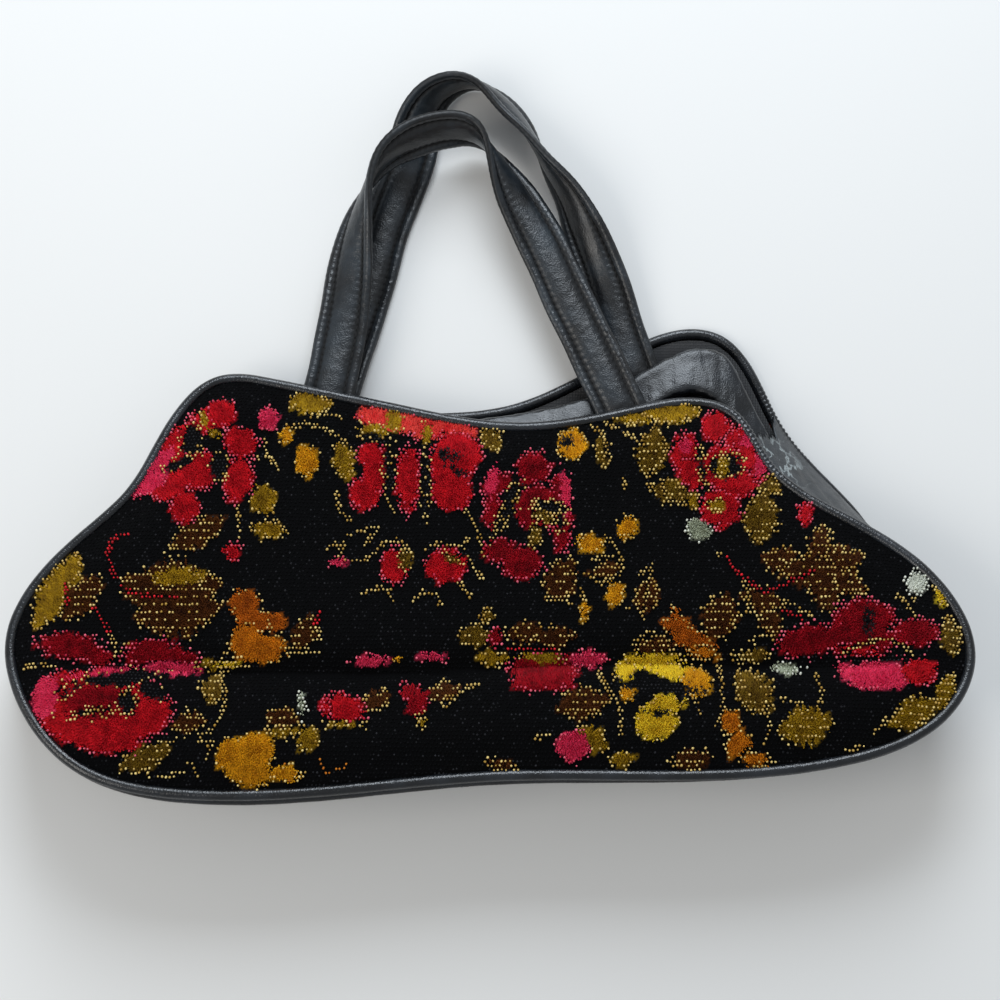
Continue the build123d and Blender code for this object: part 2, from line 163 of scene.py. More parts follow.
PATTERN = (
    # Leaves at the left
    leaves(Ink.MUSTARD, (58, 592, 46, 17, -58), fill=Fill.PILE),
    leaves(Ink.BROWN, (82, 598, 30, 14, -48)),
    leaves(Ink.BROWN, (150, 592, 34, 17, 20), (178, 612, 46, 24, -8), (172, 588, 52, 26, -4)),
    ovals(Ink.MUSTARD, Ink.STRAW, (180, 577, 26, 8, -3), share=0.4),
    leaves(Ink.BROWN, (198, 533, 32, 14, -28), (188, 723, 20, 11, -10)),
    leaves(Ink.OLIVE, (146, 757, 30, 13, -22), (214, 690, 16, 12, -70)),
    leaves(
        Ink.MUSTARD, (269, 530, 20, 9, 12), (264, 500, 16, 15, -30), (310, 404, 24, 11, 4), fill=Fill.PILE,
    ),
    leaves(
        Ink.MUSTARD, (344, 462, 22, 11, 75), (214, 666, 22, 6, 0), (286, 732, 24, 5, -4), fill=Fill.PILE,
    ),
    leaves(Ink.BROWN, (306, 632, 20, 12, -60), (282, 718, 18, 10, 10), (376, 701, 17, 9, -25)),
    # Leaves in the middle
    leaves(Ink.OLIVE, (475, 636, 18, 11, 5), (487, 616, 12, 6, -70), (491, 440, 16, 10, 50)),
    leaves(Ink.BROWN, (525, 633, 24, 10, -5), (556, 637, 24, 10, 0), (560, 580, 26, 16, -60)),
    leaves(
        Ink.BROWN, (582, 704, 30, 15, -10), (606, 570, 20, 6, -10), (444, 693, 20, 9, -15),
        (501, 764, 18, 5, 12),
    ),
    leaves(
        Ink.MUSTARD, (493, 658, 18, 7, 5), (591, 739, 20, 13, 30), (308, 739, 12, 12, 40), fill=Fill.PILE,
    ),
    # Leaves at the right
    leaves(
        Ink.MUSTARD, (668, 412, 34, 12, 2), (628, 416, 26, 8, 14), (688, 494, 22, 8, 55), fill=Fill.PILE,
    ),
    leaves(Ink.OLIVE, (652, 453, 26, 16, -80), (766, 486, 18, 9, 25), (602, 452, 18, 7, 80)),
    leaves(Ink.OLIVE, (761, 518, 28, 17, -85), (671, 492, 22, 12, 10)),
    leaves(Ink.BROWN, (783, 562, 24, 14, 20), (820, 548, 24, 12, -85), (842, 562, 24, 14, -20)),
    leaves(Ink.BROWN, (848, 584, 22, 11, 25), (826, 594, 22, 13, 70), (812, 572, 30, 18, 0)),
    leaves(Ink.BROWN, (762, 600, 24, 12, 15), (770, 622, 20, 10, 70), (720, 617, 28, 17, -70)),
    leaves(Ink.BROWN, (647, 597, 20, 12, -75), (655, 646, 24, 8, -4), (691, 759, 24, 9, -6)),
    leaves(Ink.OLIVE, (754, 655, 22, 6, 0), (754, 693, 28, 17, 50), (950, 637, 22, 10, 80)),
    leaves(
        Ink.MUSTARD, (805, 726, 30, 19, -10), (912, 713, 28, 15, -30), (945, 691, 20, 9, -70),
        fill=Fill.HATCH,
    ),
    leaves(Ink.MUSTARD, (622, 759, 14, 8, -10), (836, 507, 26, 4, 30), fill=Fill.PILE),
    # Sprigs of single loops
    strokes(
        Ink.STRAW, ((238, 505), (240, 540)), ((262, 440), (272, 466)), ((252, 463), (266, 455), (280, 470)),
        ((286, 430), (306, 424), (330, 432), (346, 444)), ((318, 414), (340, 418)),
        ((336, 494), (340, 512), (352, 522)), ((348, 536), (366, 530), (380, 528), (366, 544)),
        ((328, 548), (344, 542), (338, 560), (362, 562), (378, 552)), ((390, 505), (394, 512)),
        ((382, 545), (396, 541), (410, 548)), ((424, 550), (440, 544), (458, 548), (468, 540)),
        ((362, 596), (378, 588), (390, 592), (392, 602)), ((412, 600), (424, 592), (438, 596), (440, 606)),
        ((466, 512), (478, 530), (484, 556)), ((462, 546), (470, 562), (482, 580)),
        ((460, 584), (470, 596)), ((420, 505), (428, 516)), ((446, 708), (462, 690), (480, 686)),
        ((416, 718), (422, 728)), ((546, 596), (560, 600), (574, 604)),
        ((580, 590), (588, 612), (582, 622)), ((594, 560), (612, 556)),
        ((604, 534), (616, 548), (622, 562)), ((584, 574), (600, 584), (622, 574)),
        ((622, 478), (626, 488)), ((598, 672), (608, 690), (622, 712), (620, 734)),
        ((618, 668), (612, 684)), ((534, 738), (548, 736)), ((608, 424), (630, 436), (646, 446)),
        ((590, 426), (604, 436), (606, 458)), ((612, 428), (600, 418)),
        ((660, 480), (668, 500), (690, 508)), ((652, 470), (648, 486)), ((714, 548), (720, 556)),
        ((640, 575), (652, 566), (642, 620)), ((626, 610), (634, 604)),
        ((668, 640), (650, 632), (634, 640)), ((718, 664), (722, 684), (722, 712), (716, 726)),
        ((730, 656), (742, 664)), ((700, 715), (694, 700)), ((742, 578), (750, 596), (748, 612)),
        ((786, 600), (800, 612), (812, 616)), ((748, 640), (772, 634)),
        ((766, 706), (770, 724), (764, 742)), ((780, 700), (800, 704)),
        ((816, 676), (822, 690), (820, 702)), ((872, 734), (888, 722), (902, 706)),
        ((884, 718), (878, 730)), ((944, 586), (948, 600)), ((896, 596), (908, 602), (920, 598)),
        ((906, 606), (914, 616)), ((846, 750), (862, 746)), ((106, 630), (118, 650), (112, 660)),
        ((24, 668), (42, 664), (56, 668)), ((128, 642), (120, 654)), ((198, 742), (212, 742), (206, 760)),
        ((222, 684), (226, 706), (214, 730), (200, 736)), ((196, 664), (208, 668)),
        ((150, 778), (168, 776), (184, 770)), ((198, 775), (190, 762)), ((270, 730), (262, 740)),
        ((176, 738), (170, 752)), ((228, 650), (222, 662)), ((246, 663), (232, 668)),
        ((280, 652), (296, 648)), ((296, 654), (318, 652)),
    ),
    strokes(
        Ink.ORANGE, ((318, 758), (326, 772), (346, 766)), ((286, 764), (288, 780)),
        ((296, 770), (304, 774)),
    ),
    # Rust and orange flowers
    ovals(
        Ink.RUST, Ink.STRAW, (244, 604, 15, 14, -20), (252, 622, 16, 13, 0), (276, 622, 10, 9, 0),
        share=0.35,
    ),
    ovals(Ink.ORANGE, Ink.STRAW, (258, 648, 28, 15, 5), (246, 638, 14, 14, 0), share=0.5),
    ovals(
        Ink.RUST, Ink.STRAW, (679, 628, 17, 9, 20), (676, 616, 5, 8, 0), (695, 642, 22, 10, 18), share=0.4,
    ),
    ovals(
        Ink.ORANGE, Ink.STRAW, (703, 652, 15, 6, 10), (731, 722, 10, 12, 0), (738, 744, 12, 14, 30),
        (756, 760, 12, 7, 0),
    ),
    # Gold and yellow flowers
    ovals(
        Ink.GOLD, Ink.STRAW, (232, 756, 17, 18, 0), (256, 750, 19, 17, 0), (250, 772, 24, 14, 5),
        (286, 773, 15, 8, 10), share=0.5,
    ),
    # The yellow band along the crease is partly the flower's colour and partly a painted highlight on the
    # crease's ridge.
    ovals(
        Ink.YELLOW, Ink.STRAW, (650, 661, 32, 8, -4), (626, 672, 9, 13, 0), (672, 672, 22, 8, 12),
        share=0.55,
    ),
    ovals(Ink.GOLD, Ink.STRAW, (696, 684, 15, 15, 20), (628, 692, 8, 9, 0), share=0.6),
    ovals(Ink.BLACK, Ink.BLACK, (659, 687, 27, 5, 6), (634, 684, 12, 4, 0), fill=Fill.BARE),
    ovals(Ink.YELLOW, Ink.STRAW, (656, 721, 21, 19, 0), (668, 704, 17, 8, 5), share=0.55),
    ovals(
        Ink.GOLD, Ink.STRAW, (572, 445, 14, 15, 0), (627, 528, 9, 12, 20), (590, 544, 13, 9, 10),
        (615, 594, 9, 12, 0), share=0.6,
    ),
    ovals(
        Ink.GOLD, Ink.STRAW, (307, 462, 12, 15, 0), (287, 436, 6, 7, 0), (585, 612, 4, 8, 15),
        (398, 659, 4, 3, 0), share=0.5,
    ),
    ovals(Ink.YELLOW, Ink.STRAW, (940, 594, 4, 9, -20), (230, 664, 12, 3, 0), share=0.5),
    ovals(Ink.BLACK, Ink.BLACK, (567, 443, 4, 4, 0), (656, 713, 5, 2, 0), fill=Fill.BARE),
    # Pale flowers
    ovals(
        Ink.SAGE, Ink.WHITE, (699, 529, 13, 11, 0), (786, 668, 14, 6, 10), (303, 706, 3, 8, 0), share=0.5,
    ),
    ovals(Ink.WHITE, Ink.WHITE, (916, 583, 11, 11, 0), share=1.0),
    # Rose at the upper left
    ovals(
        Ink.RED, Ink.ROSE_LOOP, (222, 414, 14, 14, 0), (241, 443, 17, 15, 10), (238, 480, 15, 23, 10),
        (202, 424, 16, 12, -30),
    ),
    ovals(
        Ink.RED, Ink.ROSE_LOOP, (176, 448, 28, 15, -48), (196, 470, 24, 20, 0), (185, 508, 16, 15, 0),
        (168, 486, 20, 14, -20),
    ),
    ovals(Ink.PINK, Ink.ROSE_LOOP, (148, 482, 24, 11, -28), (162, 462, 16, 8, -48), share=0.25),
    ovals(Ink.MUSTARD, Ink.STRAW, (204, 420, 4, 9, -30), (212, 432, 8, 3, 30), share=0.2),
    ovals(
        Ink.BLACK, Ink.STRAW, (193, 441, 10, 15, 20), (180, 464, 18, 6, -28), (219, 468, 9, 13, 0),
        fill=Fill.BARE, share=0.5,
    ),
    # Rose at the top middle, parted by a pleat
    ovals(Ink.CORAL, Ink.ROSE_LOOP, (392, 420, 34, 13, 6), (440, 428, 36, 15, 8), share=0.3),
    ovals(
        Ink.RED, Ink.ROSE_LOOP, (372, 455, 13, 13, 0), (365, 494, 15, 17, 0), (374, 474, 12, 22, 0),
        (408, 478, 12, 34, 0),
    ),
    ovals(
        Ink.RED, Ink.ROSE_LOOP, (458, 456, 23, 22, 0), (452, 492, 21, 19, 0), (444, 466, 14, 30, 0),
        share=0.7,
    ),
    ovals(
        Ink.MUSTARD, Ink.STRAW, (394, 421, 8, 11, 0), (427, 434, 5, 9, 0), (374, 430, 12, 5, 10), share=0.4,
    ),
    ovals(
        Ink.BLACK, Ink.STRAW, (388, 474, 5, 20, 0), (426, 488, 4, 24, 2), (374, 438, 12, 4, 8),
        fill=Fill.BARE, share=0.5,
    ),
    ovals(Ink.BLACK, Ink.BLACK, (448, 456, 8, 3, 10), (456, 470, 5, 2, 30), fill=Fill.BARE),
    # Dark rose in the middle
    ovals(
        Ink.CRIMSON, Ink.ROSE_LOOP, (533, 468, 17, 15, 0), (498, 484, 14, 11, 0), (492, 506, 8, 24, 0),
        (560, 490, 10, 14, 0),
    ),
    ovals(
        Ink.CRIMSON, Ink.ROSE_LOOP, (536, 508, 22, 22, 0), (562, 526, 10, 26, 0), (499, 551, 16, 12, 0),
        (522, 563, 21, 17, 0),
    ),
    ovals(Ink.PINK, Ink.ROSE_LOOP, (566, 494, 5, 20, -6), (492, 482, 5, 14, 10), share=0.2),
    ovals(
        Ink.BLACK, Ink.STRAW, (507, 512, 6, 24, 28), (514, 496, 5, 10, 0), (549, 508, 17, 6, 8),
        (560, 520, 5, 10, 0), fill=Fill.BARE,
    ),
    ovals(Ink.OLIVE, Ink.STRAW, (543, 517, 10, 6, 10), (534, 536, 6, 10, 10), fill=Fill.HATCH, share=0.7),
    # Rose at the upper right
    ovals(
        Ink.RED, Ink.ROSE_LOOP, (686, 456, 14, 22, 0), (715, 428, 14, 15, 0), (741, 445, 17, 17, 0),
        (754, 468, 13, 18, 0),
    ),
    ovals(
        Ink.RED, Ink.ROSE_LOOP, (722, 468, 22, 22, 0), (720, 508, 20, 19, 0), (738, 484, 17, 15, 0),
        (693, 474, 13, 16, 0),
    ),
    ovals(
        Ink.PINK, Ink.ROSE_LOOP, (748, 442, 9, 7, 20), (760, 466, 6, 13, 10), (686, 446, 7, 7, 0),
        share=0.2,
    ),
    ovals(Ink.BLACK, Ink.STRAW, (702, 466, 5, 15, -10), (726, 466, 16, 13, 0), fill=Fill.BARE, share=0.7),
    ovals(Ink.MUSTARD, Ink.STRAW, (722, 468, 6, 9, 0), (716, 506, 8, 7, 0), fill=Fill.HATCH, share=0.7),
    # Great rose at the left
    ovals(Ink.CRIMSON, Ink.ROSE_LOOP, (70, 646, 32, 13, 6), (96, 656, 18, 10, 20)),
    ovals(Ink.CRIMSON, Ink.ROSE_LOOP, (150, 652, 26, 12, -8), (178, 656, 20, 9, 12)),
    ovals(Ink.RED, Ink.ROSE_LOOP, (104, 708, 68, 38, 4), (64, 704, 30, 32, 0), (100, 734, 44, 18, 10)),
    # The pink band along the crease is partly the rose's pink and partly a painted highlight on the crease's
    # ridge.
    ovals(
        Ink.PINK, Ink.ROSE_LOOP, (172, 668, 26, 7, 4), (118, 674, 44, 6, -6), (46, 698, 12, 22, 10),
        share=0.15,
    ),
    ovals(
        Ink.BLACK, Ink.STRAW, (110, 682, 48, 9, -10), (74, 694, 14, 8, -30), (152, 692, 16, 7, 30),
        fill=Fill.BARE, share=0.3,
    ),
    ovals(Ink.CRIMSON, Ink.STRAW, (98, 702, 30, 17, 0), share=0.35),
    ovals(Ink.BLACK, Ink.STRAW, (127, 703, 10, 11, 0), (92, 712, 18, 3, -8), fill=Fill.BARE, share=0.7),
    # Great rose at the right
    ovals(
        Ink.CRIMSON, Ink.ROSE_LOOP, (864, 618, 30, 18, 0), (809, 641, 32, 16, -8), (916, 633, 22, 14, 0),
        (856, 638, 38, 20, 0),
    ),
    ovals(Ink.BLACK, Ink.BLACK, (869, 621, 3, 9, 0), fill=Fill.BARE),
    ovals(Ink.BLACK, Ink.ROSE_LOOP, (883, 660, 34, 5, 0), (812, 657, 11, 3, 0), fill=Fill.BARE, share=0.3),
    # This pink along the crease is partly the rose's pink and partly a painted highlight on the crease's
    # ridge.
    ovals(Ink.PINK, Ink.ROSE_LOOP, (878, 676, 36, 14, 2), (846, 668, 10, 5, 10), share=0.45),
    ovals(Ink.RED, Ink.ROSE_LOOP, (920, 672, 17, 13, 0), (858, 650, 22, 5, 4), share=0.6),
    strokes(Ink.STRAW, ((844, 652), (862, 644), (886, 638)), ((890, 640), (904, 646), (912, 654))),
    # Flower cut by the crease
    ovals(
        Ink.CRIMSON, Ink.ROSE_LOOP, (544, 668, 36, 15, 0), (532, 680, 20, 12, 0), (556, 680, 18, 11, 0),
        share=0.7,
    ),
    ovals(Ink.MUSTARD, Ink.STRAW, (543, 658, 20, 5, 3), share=0.2),
    # This pink along the crease is partly the flower's pink and partly a painted highlight on the crease's
    # ridge.
    ovals(Ink.PINK, Ink.ROSE_LOOP, (588, 659, 17, 8, 0), share=0.5),
    # Buds
    ovals(
        Ink.RED, Ink.ROSE_LOOP, (395, 566, 15, 18, 0), (446, 566, 21, 17, 0), (343, 709, 22, 14, 8),
        share=0.75,
    ),
    ovals(
        Ink.CRIMSON, Ink.ROSE_LOOP, (417, 702, 10, 14, 10), (408, 692, 7, 8, 30), (495, 638, 6, 8, 0),
        share=0.6,
    ),
    ovals(
        Ink.PINK, Ink.ROSE_LOOP, (573, 746, 17, 15, 0), (339, 562, 7, 5, 0), (268, 420, 10, 11, 0),
        share=0.45,
    ),
    ovals(
        Ink.RED, Ink.ROSE_LOOP, (233, 552, 9, 8, -30), (805, 514, 8, 9, 0), (326, 709, 5, 8, 0), share=0.7,
    ),
    # These pinks on the crease are partly the buds' pink and partly a painted highlight on the crease's
    # ridge.
    ovals(Ink.PINK, Ink.ROSE_LOOP, (371, 661, 14, 6, 0), (433, 657, 10, 4, 0), share=0.4),
    ovals(Ink.OLIVE, Ink.STRAW, (405, 560, 6, 9, 0), (452, 559, 8, 4, 20), fill=Fill.HATCH, share=0.6),
    ovals(Ink.MUSTARD, Ink.STRAW, (345, 725, 14, 3, 0), (421, 721, 4, 5, 0), share=0.6),
    # Red veins and tendrils
    strokes(
        Ink.RED, ((128, 535), (113, 540), (108, 556), (113, 574), (124, 590), (144, 596), (176, 598)),
        ((66, 584), (68, 606)), ((95, 608), (104, 622), (110, 632)), ((320, 612), (316, 624)),
        ((727, 558), (736, 572), (752, 584), (764, 594), (782, 586), (798, 578), (814, 572)),
        ((782, 612), (792, 614), (802, 618)), ((508, 648), (530, 650), (556, 650)),
    ),
)


@dataclass(frozen=True)
class Viewpoint:
    """The photo's camera, in millimetres and degrees."""

    target: tuple = (4.5, 45.0, 20.0)
    elevation: float = 78.0
    distance: float = 1100.0
    focal_pixels: float = 2389.0
    frame_pixels: float = 1000.0
    sensor: float = 36.0

    def axes(self) -> tuple:
        """Where the camera stands, and its forward, right and up directions."""
        tilt = math.radians(self.elevation)
        forward = np.array([0.0, math.cos(tilt), -math.sin(tilt)])
        right = np.array([1.0, 0.0, 0.0])
        return np.array(self.target) - self.distance * forward, forward, right, np.cross(right, forward)

    def pixels(self, places: np.ndarray) -> np.ndarray:
        """Where places of the bag stand in the photo's frame.

        Args:
            places: Points in millimetres, one a row.

        Returns:
            Their pixels, one a row.
        """
        stand, forward, right, up = self.axes()
        sight = places - stand
        depth = sight @ forward
        middle = self.frame_pixels / 2
        across = middle + self.focal_pixels * (sight @ right) / depth
        return np.column_stack([across, middle - self.focal_pixels * (sight @ up) / depth])

    def place_camera(self) -> None:
        """Put the scene's camera where the photo was taken."""
        stand = self.axes()[0]
        data = bpy.data.cameras.new("photo_camera")
        data.sensor_width = self.sensor
        data.lens = self.focal_pixels * self.sensor / self.frame_pixels
        data.clip_start = 0.01
        camera = bpy.data.objects.new("photo_camera", data)
        camera.location = Vector(stand) * MM
        camera.rotation_euler = (math.radians(90.0 - self.elevation), 0.0, 0.0)
        bpy.context.scene.collection.objects.link(camera)
        bpy.context.scene.camera = camera


VIEW = Viewpoint()


def even_steps(line: np.ndarray, count: int, closed: bool) -> np.ndarray:
    """A line's points, spread evenly along it.

    Args:
        line: Close points on the line, one a row.
        count: How many points to give.
        closed: Whether the line returns to its first point.

    Returns:
        The even points. A closed line's first point isn't repeated.
    """
    if closed:
        line = np.vstack([line, line[:1]])
    run = np.concatenate([[0.0], np.cumsum(np.linalg.norm(np.diff(line, axis=0), axis=1))])
    stops = np.linspace(0.0, run[-1], count, endpoint=not closed)
    return np.column_stack([np.interp(stops, run, column) for column in line.T])


def smooth_line(points: list, count: int, closed: bool = False) -> np.ndarray:
    """Even points on the smooth cubic line through the given ones.

    Args:
        points: What the line goes through, in two or more dimensions.
        count: How many points to give.
        closed: Whether the line is a loop.

    Returns:
        The points, one a row.
    """
    knots = np.array(points, dtype=float)
    if closed:
        knots = np.vstack([knots, knots[:1]])
    step = np.linalg.norm(np.diff(knots[:, :3], axis=0), axis=1)
    slope = np.diff(knots, axis=0) / step[:, None]
    size = len(knots)
    system = np.eye(size)
    wanted = np.zeros_like(knots)
    for i in range(1, size - 1):
        system[i, i - 1 : i + 2] = step[i - 1], 2 * (step[i - 1] + step[i]), step[i]
        wanted[i] = 6 * (slope[i] - slope[i - 1])
    if closed:
        system[0, [0, 1, -2, -1]] = 2 * (step[-1] + step[0]), step[0], step[-1], 0.0
        wanted[0] = 6 * (slope[0] - slope[-1])
        system[-1, 0] = -1.0
    bend = np.linalg.solve(system, wanted)
    dense = []
    for i, h in enumerate(step):
        t = np.linspace(0.0, h, 24, endpoint=False)[:, None]
        lean = slope[i] - h * (2 * bend[i] + bend[i + 1]) / 6
        dense.append(knots[i] + lean * t + bend[i] * t**2 / 2 + (bend[i + 1] - bend[i]) * t**3 / (6 * h))
    dense.append(knots[-1:])
    line = np.vstack(dense)
    return even_steps(line[:-1] if closed else line, count, closed)


def depth_inside(places: np.ndarray, loop: np.ndarray) -> np.ndarray:
    """How far places lie inside a closed loop, and less than nought outside it.

    Args:
        places: Points, one a row.
        loop: The loop's points.

    Returns:
        One depth for each place.
    """
    nearest = np.full(len(places), np.inf)
    crossed = np.zeros(len(places), dtype=int)
    for start, end in zip(loop, np.roll(loop, -1, axis=0)):
        along = end - start
        offset = places - start
        share = np.clip(offset @ along / (along @ along), 0.0, 1.0)
        nearest = np.minimum(nearest, np.linalg.norm(offset - share[:, None] * along, axis=1))
        spans = (start[1] > places[:, 1]) != (end[1] > places[:, 1])
        rise = along[1] if along[1] else 1.0
        crossed += spans & (places[:, 0] < start[0] + offset[:, 1] * along[0] / rise)
    return np.where(crossed % 2 == 1, nearest, -nearest)


def ripple(places: np.ndarray, pitch: float, shift: float = 0.0) -> np.ndarray:
    """A soft, uneven wave over the plane, from -1 to 1.

    Args:
        places: Points, of which the first two columns count.
        pitch: Rough distance between crests.
        shift: Moves the wave, so that two of one pitch differ.

    Returns:
        One height for each place.
    """
    x = places[:, 0] * 2 * math.pi / pitch
    y = places[:, 1] * 2 * math.pi / pitch
    first = np.sin(x + 1.7 * np.sin(0.53 * y + shift) + shift)
    second = np.sin(0.83 * y + 1.3 * np.sin(0.61 * x - 2 * shift) - shift)
    third = np.sin(0.47 * (x + y) + 2.1 * np.sin(0.37 * (x - y) + shift))
    return (first * second + 0.6 * third) / 1.6


@dataclass(frozen=True)
class PanelCut:
    """The cut of the two carpet panels and how each of them lies, in millimetres."""

    outline: tuple = (
        (-127, 104), (-100, 103), (-42, 90), (14, 81), (69, 90), (99, 93), (112, 88),
        (128, 63), (163, 35), (202, 4), (215, -33), (205, -56), (150, -83), (4, -89),
        (-134, -97), (-178, -86), (-207, -55), (-215, -24), (-186, 26), (-166, 47), (-147, 84),
    )
    slide: tuple = (-6.0, -3.0)
    slump_start: tuple = (-60.0, 5.0)
    slump_run: tuple = (172.0, 83.0)
    slump_rise: float = 45.0
    slump_spread: float = 18.0
    tuck: float = 7.5
    tuck_start: float = -40.0
    tuck_run: float = 30.0
    width: float = 430.0
    height: float = 203.0
    rim_height: float = 41.5
    slope: float = math.radians(9.9)
    crease_y: float = -38.0
    crease_depth: float = 9.0
    crease_width: float = 8.0
    crease_reach: float = 168.0
    crease_sway: float = 1.6
    crease_sway_length: float = 37.0
    crease_tilt: float = 0.012
    crease_lap: float = 2.0
    base_bulge: float = 8.0
    belly_bulge: float = 7.0
    rim_ease: float = 24.0
    pleat_depth: float = 4.4
    pleat_width: float = 5.0
    pleat_length: float = 62.0
    pleat_top: float = 88.0
    pleat_splay: float = 0.05
    pleat_places: tuple = (-98, -62, -30, 0, 28, 55)
    broad_fold: float = 0.9
    broad_fold_pitch: float = 95.0
    fine_fold: float = 0.45
    fine_fold_pitch: float = 34.0

    def inset(self, points: list, depth: float) -> list:
        """Move each point of a closed loop inwards.

        Args:
            points: The loop, clockwise.
            depth: How far to move.

        Returns:
            The moved points.
        """
        moved = []
        for i, here in enumerate(points):
            before = np.array(points[i - 1])
            after = np.array(points[(i + 1) % len(points)])
            here = np.array(here)
            along = (here - before) / np.linalg.norm(here - before)
            along = along + (after - here) / np.linalg.norm(after - here)
            along /= np.linalg.norm(along)
            moved.append((here[0] + depth * along[1], here[1] - depth * along[0]))
        return moved

    def front_loop(self, depth: float, count: int) -> np.ndarray:
        """Even points on the front panel's cut, in its own plane, moved inwards by depth."""
        return smooth_line(self.inset(list(self.outline), depth), count, closed=True)

    def back_loop(self, depth: float, count: int) -> np.ndarray:
        """Even points on the back panel's cut, slumped on the floor and moved inwards by depth."""
        slumped = []
        for x, y in self.outline:
            reach = min(max((x - self.slump_start[0]) / self.slump_run[0], 0.0), 1.0)
            rise = min(max((y - self.slump_start[1]) / self.slump_run[1], 0.0), 1.0)
            spread = self.slump_spread * 4 * rise * (1 - rise) * reach
            tucked = self.tuck * min(max((self.tuck_start - y) / self.tuck_run, 0.0), 1.0)
            lifted = tucked + self.slump_rise * reach * rise**1.6
            slumped.append((x + self.slide[0] + spread, y + self.slide[1] + lifted))
        return smooth_line(self.inset(slumped, depth), count, closed=True)

    def on_front(self, flat: np.ndarray, height: np.ndarray) -> np.ndarray:
        """Places of the front panel, from its own plane.

        Args:
            flat: Points in the panel's plane, one a row.
            height: Height over the plane, one for each point.

        Returns:
            Points in millimetres, one a row.
        """
        sine, cosine = math.sin(self.slope), math.cos(self.slope)
        y = flat[:, 1] * cosine + height * sine
        return np.column_stack([flat[:, 0], y, self.rim_height - flat[:, 1] * sine + height * cosine])

    def relief(self, flat: np.ndarray) -> np.ndarray:
        """Height of the front panel's folds over its plane.

        Args:
            flat: Points in the panel's plane, one a row.

        Returns:
            One height for each point.
        """
        x, y = flat[:, 0], flat[:, 1]
        ease = np.clip(depth_inside(flat, self.front_loop(0.0, 130)) / self.rim_ease, 0.0, 1.0)
        ease = ease * ease * (3 - 2 * ease)
        sway = self.crease_sway * np.sin(x / self.crease_sway_length)
        line = self.crease_y + sway + self.crease_tilt * x
        fade = 1 / (1 + (x / self.crease_reach) ** 8)
        crease = self.crease_depth * np.exp(-np.abs((y - line) / self.crease_width) ** 1.3) * fade
        lean = 1 / (1 + np.exp(-(y - line) / self.crease_lap))
        base = self.base_bulge * (1 - lean) + self.belly_bulge * lean
        reach = np.clip(1 - (self.pleat_top - y) / self.pleat_length, 0.0, 1.0)
        pleats = np.zeros(len(flat))
        for place in self.pleat_places:
            middle = place + self.pleat_splay * (self.pleat_top - y) * (1 if place > 0 else -1)
            pleats += self.pleat_depth * reach * np.exp(-np.abs((x - middle) / self.pleat_width) ** 1.5)
        folds = self.broad_fold * ripple(flat, self.broad_fold_pitch, 1.0)
        folds += self.fine_fold * ripple(flat * (1.0, 0.5), self.fine_fold_pitch, 2.0)
        return ease * (base - crease - pleats + folds)


CUT = PanelCut()


